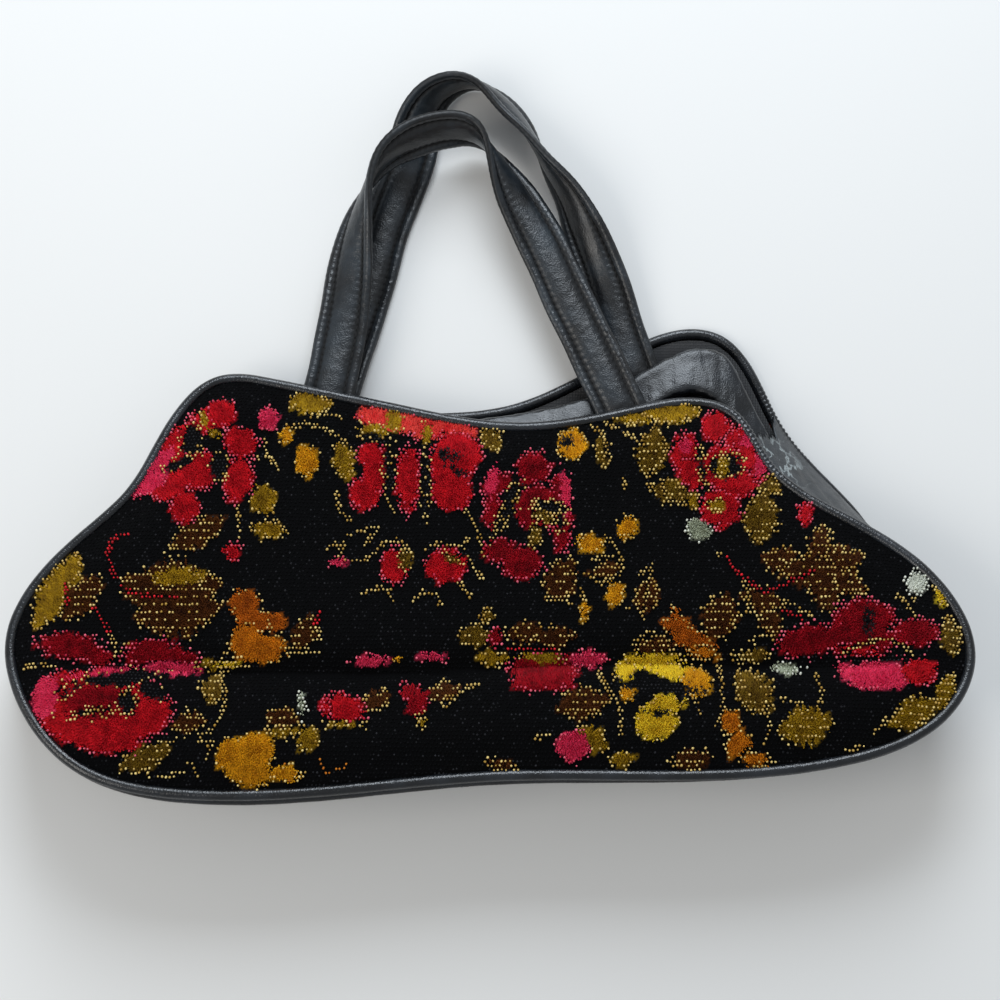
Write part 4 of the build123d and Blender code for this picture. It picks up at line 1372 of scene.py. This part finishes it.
@dataclass
class BackPanel:
    """The panel on the floor, with its loops pointing down, in millimetres."""

    edge: float = 3.2
    cloth_pitch: float = 3.0
    cloth_low: float = 1.1
    cloth_thickness: float = 1.1
    loop_pitch: float = 2.3
    loop_radius: float = 0.9
    loop_height: float = 0.6

    def pattern_pixels(self, flat: np.ndarray) -> np.ndarray:
        """The pattern's place under each point, mirrored from the front panel's."""
        mirrored = flat * (-1.0, 1.0)
        return VIEW.pixels(CUT.on_front(mirrored, np.full(len(flat), CUT.belly_bulge)))

    def build(self) -> None:
        """Build the cloth and its yarns."""
        loop = CUT.back_loop(self.edge, 420)
        flat, faces = clipped_grid(loop, self.cloth_pitch)
        low = np.column_stack([flat, np.full(len(flat), self.cloth_low)])
        cloth = new_mesh("back_carpet_cloth", low, [q[::-1] for q in faces])
        paint_points(cloth, WEAVE.under(self.pattern_pixels(flat), SEED))
        ground = YarnFinish("back_ground_cloth", rough=1.0, sheen=0.0, shine=0.1)
        cloth.data.materials.append(ground.material())
        thicken(cloth, self.cloth_thickness)
        bake_modifiers(cloth)
        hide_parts("back_panel")
        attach(cloth, BODY)
        self.yarns(loop)

    def yarns(self, loop: np.ndarray) -> None:
        """Stand the loops, which point down."""
        grid = WEAVE.rows_inside(loop, self.loop_pitch)
        colour = WEAVE.paint(self.pattern_pixels(grid[:, :2]), grid[:, 2], SEED)[0]
        places = np.column_stack([grid[:, :2], np.full(len(grid), self.cloth_low - 0.1)])
        ways = np.tile((0.0, 0.0, -1.0), (len(grid), 1))
        yarn_finish = YarnFinish("back_yarn", rough=0.8, sheen=0.2).material()
        dots = Scatter("back_carpet_loops", Unit.LOW_LOOP, yarn_finish, self.loop_radius, self.loop_height)
        dots.lean, dots.least, dots.most = 0.1, 0.85, 1.1
        piece = dots.stand(places, ways, colour)
        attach(piece, BODY)
        log.info("%s: %d faces", piece.name, len(piece.data.polygons))


@dataclass
class Piping:
    """A round vinyl welt that is crimped where the seam turns inwards, in millimetres."""

    ring_step: float = 0.55
    sides: int = 12
    crimp_pitch: float = 2.3
    crimp_depth: float = 0.65
    crimp_reach: float = 19.0
    crimp_least: float = 0.04
    front_gather: tuple = (122.0, 66.0)
    back_gather: tuple = (137.0, 84.0)
    seam_length: float = 1125.0

    def tube(self, name: str, line: np.ndarray, up: np.ndarray, gathered: tuple) -> bpy.types.Object:
        """Build a welt round a closed line.

        Args:
            name: The piece's name.
            line: The welt's middle, evenly spaced and clockwise from above.
            up: The direction over the seam.
            gathered: Where the seam is gathered, and the welt crimped.

        Returns:
            The welt.
        """
        ahead = np.roll(line, -1, axis=0) - np.roll(line, 1, axis=0)
        step = np.linalg.norm(ahead, axis=1)[:, None] / 2
        ahead /= np.linalg.norm(ahead, axis=1)[:, None]
        outward = np.cross(up, ahead)
        outward /= np.linalg.norm(outward, axis=1)[:, None]
        away = np.linalg.norm(line[:, :2] - gathered, axis=1)
        near = np.exp(-((away / self.crimp_reach) ** 4))
        crimped = self.crimp_least + (1 - self.crimp_least) * near
        run = np.arange(len(line)) * step.mean()
        wander = 0.35 * np.sin(run / 11.0) + 0.2 * np.sin(run / 4.3 + 1.0)
        wave = 0.5 + 0.5 * np.cos(2 * math.pi * run / self.crimp_pitch + 3 * wander)
        radius = PIPING_RADIUS * (1 + 0.012 * np.sin(run / 6.1) + 0.01 * np.sin(run / 2.7 + 2.0))
        rings = []
        for i in range(self.sides):
            turn = 2 * math.pi * i / self.sides
            side = math.cos(turn)
            reach = radius - self.crimp_depth * crimped * wave**2 * (0.65 + 0.35 * side)
            rings.append(line + outward * (reach * side)[:, None] + up * (reach * math.sin(turn))[:, None])
        verts = np.stack(rings, axis=1).reshape(-1, 3)
        faces = []
        for i in range(len(line)):
            here, after = i * self.sides, (i + 1) % len(line) * self.sides
            for j in range(self.sides):
                k = (j + 1) % self.sides
                faces.append((here + j, after + j, after + k, here + k))
        return new_mesh(name, verts, faces)

    def build(self) -> None:
        """Build both welts."""
        finish = Vinyl("piping_vinyl", worn=(0.016, 0.019, 0.024), gloss=0.20, wrinkle=0.0002).material()
        count = int(self.seam_length / self.ring_step)
        flat = CUT.front_loop(PIPING_RADIUS, count)
        up = np.array([0.0, math.sin(CUT.slope), math.cos(CUT.slope)])
        front = self.tube("front_piping_welt", CUT.on_front(flat, np.zeros(count)), up, self.front_gather)
        low = CUT.back_loop(PIPING_RADIUS, count)
        laid = np.column_stack([low, np.full(count, PIPING_RADIUS)])
        back = self.tube("back_piping_welt", laid, np.array([0.0, 0.0, 1.0]), self.back_gather)
        for piece, node in ((front, "front_piping"), (back, "back_piping")):
            piece.data.materials.append(finish)
            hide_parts(node)
        ride_fold(front)
        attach(back, BODY)


@dataclass
class Gusset:
    """The vinyl side wall between the two panels, open at the mouth, in millimetres."""

    columns: int = 460
    rows: int = 16
    inset: float = 1.9
    thickness: float = 1.2
    mouth_half: float = 133.0
    mouth_y: float = 75.0
    base_y: float = -60.0
    sag: float = 1.6
    sag_inward: float = 0.6
    base_sag: float = 0.3
    seam_share: float = 0.74
    board_gap: float = 0.5
    board_thickness: float = 2.4
    board_half: float = 118.0

    def rings(self, inset: float) -> tuple:
        """The wall's foot and head, inset from the panels' cut."""
        low = CUT.back_loop(inset, self.columns)
        flat = CUT.front_loop(inset, self.columns)
        high = CUT.on_front(flat, np.full(self.columns, -PIPING_RADIUS - SEAM_GAP))
        return np.column_stack([low, np.full(self.columns, 2 * PIPING_RADIUS + SEAM_GAP)]), high

    def wall(self, name: str, verts: np.ndarray, faces: list, thickness: float) -> bpy.types.Object:
        """Make a wall of one thickness, which grows inwards."""
        piece = new_mesh(name, verts, [quad[::-1] for quad in faces])
        thicken(piece, thickness)
        return piece

    def slack(self, foot: np.ndarray, share: float) -> np.ndarray:
        """How far the wall stands out at a share of its height, in folds."""
        flow = np.column_stack([np.arange(self.columns) * 2.5, np.full(self.columns, share * 34.0)])
        folds = 0.5 * ripple(flow, 62.0, 0.7) + 0.5 * ripple(flow * (1.0, 0.35), 19.0, 1.9)
        held = np.where(foot[:, 1] < self.base_y, self.base_sag * np.abs(folds), folds - self.sag_inward)
        return self.sag * math.sin(math.pi * share) * held

    def build(self) -> None:
        """Build the wall with its slack, and the board in its base."""
        foot, high = self.rings(self.inset)
        ahead = np.roll(foot, -1, axis=0) - np.roll(foot, 1, axis=0)
        ahead /= np.linalg.norm(ahead, axis=1)[:, None]
        outward = np.column_stack([-ahead[:, 1], ahead[:, 0], np.zeros(self.columns)])
        shares = [i / (self.rows - 1) for i in range(self.rows)]
        verts = np.vstack([foot + (high - foot) * s + outward * self.slack(foot, s)[:, None] for s in shares])
        faces = []
        for quad in grid_faces(self.rows, self.columns, wrap=True):
            middle = verts[list(quad)].mean(axis=0)
            if middle[1] < self.mouth_y or abs(middle[0]) > self.mouth_half:
                faces.append(quad)
        piece = self.wall("gusset_wall", verts, faces, self.thickness)
        piece.data.materials.append(Vinyl("gusset_vinyl", gloss=0.36, creased=True).material())
        bake_modifiers(piece)
        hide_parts("gusset")
        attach(piece, BODY)
        self.board()

    def board(self) -> None:
        """Build the stiff board that lies in the base, against the wall."""
        foot, high = self.rings(self.inset + self.thickness + self.board_gap)
        rise = high - foot
        shares = np.linspace(0.06, 0.94, 6)
        verts = np.vstack([foot + rise * share for share in shares])
        faces = []
        for quad in grid_faces(len(shares), self.columns, wrap=True):
            middle = verts[list(quad)].mean(axis=0)
            if middle[1] < self.base_y and abs(middle[0]) < self.board_half:
                faces.append(quad)
        piece = self.wall("base_board_strip", verts, faces, self.board_thickness)
        edge = piece.modifiers.new("edge", "BEVEL")
        edge.width = 0.4 * MM
        edge.segments = 2
        piece.data.materials.append(FibreBoard().material())
        bake_modifiers(piece)
        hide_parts("base_board")
        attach(piece, BODY)


def plump(piece: bpy.types.Object, voxel: float, pressure: float, cap: float) -> None:
    """Blow a padded piece up a little as cloth, with its movement capped.

    Args:
        piece: The piece, a closed mesh.
        voxel: Size of the even mesh it is given first, in millimetres.
        pressure: Cloth pressure.
        cap: The furthest that a point may move, in millimetres.
    """
    mesh = piece.modifiers.new("even", "REMESH")
    mesh.mode = "VOXEL"
    mesh.voxel_size = voxel * MM
    mesh.use_smooth_shade = True
    bake_modifiers(piece)
    rest = np.array([v.co[:] for v in piece.data.vertices])
    cloth = piece.modifiers.new("cloth", "CLOTH")
    cloth.settings.quality = 5
    cloth.settings.use_pressure = True
    cloth.settings.uniform_pressure_force = pressure
    cloth.settings.effector_weights.gravity = 0.0
    for step in range(1, 21):
        bpy.context.scene.frame_set(step)
    evaluated = piece.evaluated_get(bpy.context.evaluated_depsgraph_get())
    moved = np.array([v.co[:] for v in evaluated.data.vertices])
    piece.modifiers.clear()
    bpy.context.scene.frame_set(1)
    shift = moved - rest
    size = np.linalg.norm(shift, axis=1)
    limit = cap * MM
    shift *= (limit * np.tanh(size / limit) / np.maximum(size, 1e-9))[:, None]
    piece.data.vertices.foreach_set("co", (rest + shift).ravel())
    piece.data.update()


@dataclass
class Lips:
    """The two padded vinyl lips of the mouth, in millimetres."""

    outer: tuple = (
        (-132.5, 74), (-130, 83), (-116, 90.5), (-60, 85.5), (0, 86.5), (46, 96.5), (66, 105),
        (97, 119), (107, 118), (120, 99), (132.5, 74),
    )
    inner: tuple = (
        (-112, 74), (-101, 70.5), (-60, 68.5), (0, 68.5), (46, 75.5), (72, 86), (95, 96), (106, 91),
        (116, 74),
    )
    underside: tuple = ((0.00, 1.0), (0.04, 0.2), (0.30, 0.0), (0.75, 0.0), (0.95, 0.3), (1.0, 1.6))
    topside: tuple = (
        (1.0, 2.2), (0.97, 0.7), (0.90, 0.0), (0.78, 0.25), (0.60, 0.0), (0.40, 0.0), (0.20, 0.0),
        (0.03, 0.4), (0.0, 1.4),
    )
    strap_places: tuple = (-77.0, 56.0)
    strap_room: float = 15.0
    thickness: float = 6.4
    roll_share: float = 0.75
    stations: int = 120
    voxel: float = 2.0
    pressure: float = 3.0
    swell: float = 0.7
    fine_crease: float = 0.28
    broad_crease: float = 0.3

    def lip(self, name: str, low: float, top: float, crest: float) -> bpy.types.Object:
        """Build one lip.

        Args:
            name: The piece's name.
            low: Height of its underside.
            top: Height of its inner side, away from the handles.
            crest: Height of its outer roll.

        Returns:
            The lip, a closed mesh.
        """
        outer = smooth_line(list(self.outer), self.stations)
        inner = smooth_line(list(self.inner), self.stations)
        across = outer - inner
        clear = np.ones(self.stations)
        for place in self.strap_places:
            clear *= 1 - np.exp(-(((inner[:, 0] - place) / self.strap_room) ** 4))
        rise = top - self.thickness - low
        profile = [(share, low + over) for share, over in self.underside]
        profile += [(share, crest - under) for share, under in self.topside]
        verts = []
        for i in range(self.stations):
            for share, z in profile:
                point = inner[i] + across[i] * share
                lift = rise * clear[i] * max(0.0, 1 - share / self.roll_share) if z > low + 2 else 0.0
                verts.append((point[0], point[1], z + lift))
        count = len(profile)
        faces = grid_faces(self.stations, count, wrap=True)
        faces.append(tuple(range(count))[::-1])
        faces.append(tuple((self.stations - 1) * count + j for j in range(count)))
        piece = new_mesh(name, np.array(verts), faces)
        turn_outwards(piece)
        return piece

    def build(self) -> None:
        """Build both lips, swell them and crease them."""
        finish = Vinyl("lip_vinyl", worn=(0.012, 0.015, 0.020), gloss=0.27).material()
        for name, node, body, low, top, crest in (
            ("back_padded_lip", "back_lip", BODY, 3.6, 9.6, 9.6),
            ("front_padded_lip", "front_lip", MOUTH, 10.4, 20.0, 16.4),
        ):
            piece = self.lip(name, low, top, crest)
            plump(piece, self.voxel, self.pressure, self.swell)
            fine = piece.modifiers.new("fine", "SUBSURF")
            fine.levels = 1
            fine.render_levels = 1
            bake_modifiers(piece)
            self.wrinkle(piece)
            piece.data.materials.append(finish)
            piece.data.polygons.foreach_set("use_smooth", [True] * len(piece.data.polygons))
            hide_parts(node)
            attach(piece, body)
            log.info("%s: %d faces", name, len(piece.data.polygons))

    def wrinkle(self, piece: bpy.types.Object) -> None:
        """Press fine creases across the lip, deepest at the right."""
        data = piece.data
        for vertex in data.vertices:
            place = vertex.co / MM
            weight = 0.25 + 0.75 * min(max((place.x - 20.0) / 60.0, 0.0), 1.0)
            crease = noise.noise(Vector((place.x / 3.2, place.y / 14.0, place.z / 9.0)))
            broad = noise.noise(Vector((place.x / 11.0, place.y / 17.0, 3.0)))
            depth = weight * self.fine_crease * crease + self.broad_crease * broad
            vertex.co += vertex.normal * depth * MM
        data.update()


def turn_outwards(piece: bpy.types.Object) -> None:
    """Make the faces of a closed mesh point outwards."""
    shell = bmesh.new()
    shell.from_mesh(piece.data)
    bmesh.ops.recalc_face_normals(shell, faces=shell.faces)
    shell.to_mesh(piece.data)
    shell.free()


@dataclass
class Straps:
    """The two padded handles with three sewn channels, in millimetres.

    A station is the strap's middle, its height and the lean of its face in degrees.
    """

    width: float = 24.0
    step: float = 0.9
    samples: int = 61
    seam: float = 6.9
    side_middle: float = 9.65
    side_half: float = 2.45
    centre_thick: float = 2.3
    side_thick: float = 1.95
    least_thick: float = 0.42
    pucker: float = 0.65
    pucker_reach: float = 2.1
    edge_pucker: float = 0.45
    edge_pucker_reach: float = 1.5
    wrinkle: float = 0.06
    wrinkle_pitch: float = 5.5
    wrinkle_from: float = 0.8
    full_relief: float = 1.9
    flat_end: float = 0.40
    end_growth: float = 0.07
    stitch_pitch: float = 3.3
    stitch_height: float = 0.45
    thread_radius: float = 0.23
    thread_length: float = 1.9
    front_route: tuple = (
        (-79, 82, 19.2, 0), (-75, 97, 19.2, 0), (-71, 118, 18.2, 4), (-68, 139, 17.8, 12),
        (-66, 159, 18.5, 28), (-63, 179, 20.5, 52), (-58, 196, 22.5, 80), (-50, 210, 23.3, 102),
        (-39, 218, 24.0, 116), (-26, 223, 23.5, 118), (-12, 224, 21.5, 108), (-2, 218, 19.0, 82),
        (6, 206, 18.0, 55), (14, 190, 17.5, 26), (25, 168, 17.4, 10), (35, 145, 17.6, 4),
        (46, 121, 18.4, 0), (54, 103, 19.2, 0), (59, 92, 19.4, 0), (63, 83, 19.4, 0),
    )
    back_route: tuple = (
        (-76, 92.8, 7.8, 180), (-73, 102, 7.6, 180), (-68, 119, 5.0, 180), (-63, 136, 3.2, 180),
        (-58, 153, 2.8, 180), (-54, 170, 2.8, 180), (-49, 187, 2.9, 178), (-43, 203, 3.6, 174),
        (-38, 217, 5.4, 168), (-35, 231, 8.4, 151), (-29, 243, 12.2, 126), (-19, 250, 13.4, 100),
        (-7, 251, 13.0, 76), (4, 244, 12.2, 62), (13, 234, 12.0, 62), (20, 223, 13.0, 75),
        (27, 210, 13.4, 92), (36, 196, 13.2, 112), (43.5, 180, 11.8, 134), (50.5, 163, 9.0, 152),
        (56, 146, 7.8, 165), (61, 129, 7.9, 174), (67, 110.5, 8.0, 180), (70, 101, 7.4, 180),
    )

    def half_thickness(self, off: np.ndarray, run: float) -> np.ndarray:
        """Half the strap's thickness across it, gathered at each stitch.

        Args:
            off: Distances from the strap's middle.
            run: How far along the strap.

        Returns:
            One half thickness for each distance.
        """
        away = np.abs(off)
        centre = self.centre_thick * np.clip(1 - (off / (self.seam - 0.1)) ** 2, 0, 1) ** 0.42
        side = np.clip(1 - ((away - self.side_middle) / self.side_half) ** 2, 0, 1) ** 0.45
        side = self.side_thick * side
        near = np.exp(-(((away - self.seam) / self.pucker_reach) ** 2))
        near += self.edge_pucker * np.exp(-(((away - self.width / 2) / self.edge_pucker_reach) ** 2))
        gather = (0.5 + 0.5 * np.cos(2 * math.pi * (run + 0.12 * off) / self.stitch_pitch)) ** 0.8
        uneven = 0.75 + 0.25 * math.sin(run / 9.0 + 1.7 * math.sin(run / 31.0))
        thick = np.maximum(centre, side) - self.pucker * uneven * near * gather
        return np.maximum(thick, self.least_thick)

    def strap(self, name: str, route: tuple) -> tuple:
        """Build one strap.

        Args:
            name: The piece's name.
            route: Its stations.

        Returns:
            The strap and its stitches' places and ways.
        """
        knots = []
        for i, (x, y, z, lean) in enumerate(route):
            before = np.array(route[max(i - 1, 0)][:3])
            after = np.array(route[min(i + 1, len(route) - 1)][:3])
            along = (after - before) / np.linalg.norm(after - before)
            outward = np.array([-along[1], along[0], 0.0])
            outward /= np.linalg.norm(outward)
            upward = np.cross(along, outward)
            turn = math.radians(lean)
            across = outward * math.cos(turn) - upward * math.sin(turn)
            knots.append((x, y, z, *(across * 10)))
        length = sum(math.dist(a[:3], b[:3]) for a, b in zip(route[:-1], route[1:]))
        count = int(length / self.step)
        line = smooth_line(knots, count)
        half = self.width / 2
        offs = np.linspace(-half, half, self.samples)
        verts, relief, seams, ways = [], [], [], []
        middle = line[:, :3]
        ahead = np.gradient(middle, axis=0)
        ahead /= np.linalg.norm(ahead, axis=1)[:, None]
        run = np.concatenate([[0.0], np.cumsum(np.linalg.norm(np.diff(middle, axis=0), axis=1))])
        next_stitch = self.stitch_pitch
        for i in range(count):
            across = line[i, 3:] - ahead[i] * (line[i, 3:] @ ahead[i])
            across /= np.linalg.norm(across)
            normal = np.cross(ahead[i], across)
            thick = self.half_thickness(offs, run[i])
            ends = min(1.0, self.flat_end + self.end_growth * min(i, count - 1 - i))
            flow = np.column_stack([offs * 0.7, np.full(len(offs), run[i])])
            wobble = self.wrinkle * ripple(flow, self.wrinkle_pitch, 1.0) * (thick > self.wrinkle_from)
            edge = 1 + 0.012 * math.sin(run[i] / 5.3)
            line_across = middle[i] + np.outer(offs * edge, across)
            top = line_across + np.outer(thick * ends + wobble, normal)
            low = line_across - np.outer(thick * ends - wobble, normal)
            verts.append(np.vstack([top, low[-2:0:-1]]))
            relief.append(np.concatenate([thick, thick[-2:0:-1]]) / self.full_relief)
            if run[i] >= next_stitch:
                next_stitch += self.stitch_pitch
                for side in (-1, 1):
                    for face in (-1, 1):
                        out = across * side * self.seam * edge + normal * face * self.stitch_height
                        seams.append(middle[i] + out)
                        ways.append(ahead[i])
        ring = 2 * len(offs) - 2
        faces = []
        for i in range(count - 1):
            for j in range(ring):
                k = (j + 1) % ring
                faces.append((i * ring + j, (i + 1) * ring + j, (i + 1) * ring + k, i * ring + k))
        faces.append(tuple(range(ring)))
        faces.append(tuple((count - 1) * ring + j for j in range(ring))[::-1])
        piece = new_mesh(name, np.vstack(verts), faces)
        # The relief also tells the vinyl where to paint shade in the seams.
        layer = piece.data.attributes.new("relief", "FLOAT", "POINT")
        layer.data.foreach_set("value", np.clip(np.concatenate(relief), 0, 1).astype(np.float32))
        turn_outwards(piece)
        log.info("%s: %.0f mm long", name, run[-1])
        return piece, np.array(seams), np.array(ways)

    def build(self) -> None:
        """Build both handles and their stitches."""
        # The strap's worn tone is partly wear and partly a painted blue-grey sky reflection on the rolls; its
        # seams get painted shade.
        finish = Vinyl("strap_vinyl", worn=(0.022, 0.029, 0.036), gloss=0.27, channelled=True).material()
        black, grey = (0.0012, 0.0012, 0.0014), (0.003, 0.003, 0.0035)
        thread = Vinyl("stitch_thread", black, grey, gloss=0.8, coat=0.0).material()
        for name, route, node, body in (
            ("front_strap", self.front_route, "front_handle", MOUTH),
            ("back_strap", self.back_route, "back_handle", BODY),
        ):
            piece, seams, ways = self.strap(name, route)
            piece.data.materials.append(finish)
            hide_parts(node)
            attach(piece, body)
            row = Scatter(name + "_stitches", Unit.STITCH, thread, self.thread_radius, self.thread_length)
            stitches = row.stand(seams, ways)
            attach(stitches, body)


@dataclass
class Linings:
    """The plain cloth inside each panel, in millimetres."""

    margin: float = 5.5
    pitch: float = 5.0
    thickness: float = 0.5
    front_gap: float = 0.6
    front_slack: float = 0.3
    front_slack_pitch: float = 30.0
    back_height: float = 2.95
    back_slack: float = 0.12
    back_slack_pitch: float = 38.0
    cut_share: float = 0.74

    def build(self) -> None:
        """Build both linings."""
        finish = Cloth("lining_cloth").material()
        front_flat, faces = clipped_grid(CUT.front_loop(self.margin, 300), self.pitch)
        slack = self.front_slack * (1 + ripple(front_flat, self.front_slack_pitch))
        under = CUT.relief(front_flat) - CARPET_THICKNESS / 2 - self.front_gap - slack
        front = new_mesh("front_lining_cloth", CUT.on_front(front_flat, under), faces)
        back_flat, faces = clipped_grid(CUT.back_loop(self.margin, 300), self.pitch)
        high = self.back_height + self.back_slack * ripple(back_flat, self.back_slack_pitch)
        back = new_mesh("back_lining_cloth", np.column_stack([back_flat, high]), faces)
        for piece, node, flat in ((front, "front_lining", front_flat), (back, "back_lining", back_flat)):
            thicken(piece, self.thickness)
            piece.data.materials.append(finish)
            bake_modifiers(piece)
            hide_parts(node)
        ride_fold(front)
        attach(back, BODY)


class Hardware:
    """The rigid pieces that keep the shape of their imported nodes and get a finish."""

    def build(self) -> None:
        """Dress the steel and the stud."""
        steel = Metal("strip_steel", tone=(0.56, 0.56, 0.57), rough=0.32).material()
        plate = Metal("stud_plate", tone=(0.78, 0.77, 0.74), rough=0.16).material()
        finishes = {
            "back_frame": steel,
            "front_frame": steel,
            "left_hinge_pin": steel,
            "right_hinge_pin": steel,
            "catch_socket": plate,
            "catch_stud": plate,
        }
        for node, finish in finishes.items():
            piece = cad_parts[node]
            piece.data.materials.clear()
            piece.data.materials.append(finish)


@dataclass
class Studio:
    """The floor, the world and the lamps. Sizes are in metres."""

    floor_half: float = 6.0
    floor_tone: tuple = (0.80, 0.79, 0.77)
    world_tone: tuple = (0.90, 0.95, 1.0)
    world_strength: float = 0.45
    window_place: tuple = (0.05, 1.15, 0.95)
    window_size: float = 0.8
    window_power: float = 17.5
    window_tone: tuple = (0.84, 0.92, 1.0)
    side_place: tuple = (-1.1, -0.4, 1.2)
    side_size: float = 0.9
    side_power: float = 9.0
    side_tone: tuple = (1.0, 0.97, 0.92)

    def floor(self) -> None:
        """Lay a plain pale floor."""
        half = self.floor_half
        corners = [(-half, -half, 0), (half, -half, 0), (half, half, 0), (-half, half, 0)]
        plane = new_mesh("studio_floor", np.array(corners) / MM, [(0, 1, 2, 3)], smooth=False)
        sheet = Sheet("studio_floor")
        soft = sheet.mix(sheet.noise(3.0), self.floor_tone, tuple(0.98 * part for part in self.floor_tone))
        plane.data.materials.append(sheet.set(Base_Color=soft, Roughness=0.9, Specular_IOR_Level=0.2))

    def lamp(self, name: str, place: tuple, size: float, power: float, tone: tuple) -> None:
        """Hang a square lamp that faces the bag.

        Args:
            name: The lamp's name.
            place: Where it hangs.
            size: Its side.
            power: Its power in watts.
            tone: Its colour.
        """
        data = bpy.data.lights.new(name, "AREA")
        data.size = size
        data.energy = power
        data.color = tone
        lamp = bpy.data.objects.new(name, data)
        lamp.location = place
        lamp.rotation_euler = (Vector((0, 0.03, 0)) - Vector(place)).to_track_quat("-Z", "Y").to_euler()
        bpy.context.scene.collection.objects.link(lamp)

    def build(self) -> None:
        """Set up the stage, the light and the picture's colour handling."""
        self.floor()
        world = bpy.data.worlds.new("studio_world")
        world.use_nodes = True
        back = world.node_tree.nodes["Background"]
        back.inputs[0].default_value = (*self.world_tone, 1.0)
        back.inputs[1].default_value = self.world_strength
        bpy.context.scene.world = world
        self.lamp("window_lamp", self.window_place, self.window_size, self.window_power, self.window_tone)
        self.lamp("side_lamp", self.side_place, self.side_size, self.side_power, self.side_tone)
        bpy.context.scene.view_settings.view_transform = "Standard"


def main() -> None:
    """Build the bag, piece by piece, in the order of its making."""
    logging.basicConfig(level=logging.INFO, format="%(name)s %(message)s")
    VIEW.place_camera()
    for kind in (FrontPanel, BackPanel, Piping, Gusset, Lips, Straps, Linings, Hardware, Studio):
        maker = kind()
        maker.build()
        log.info("%s done", type(maker).__name__)


if __name__ == "__main__":
    main()
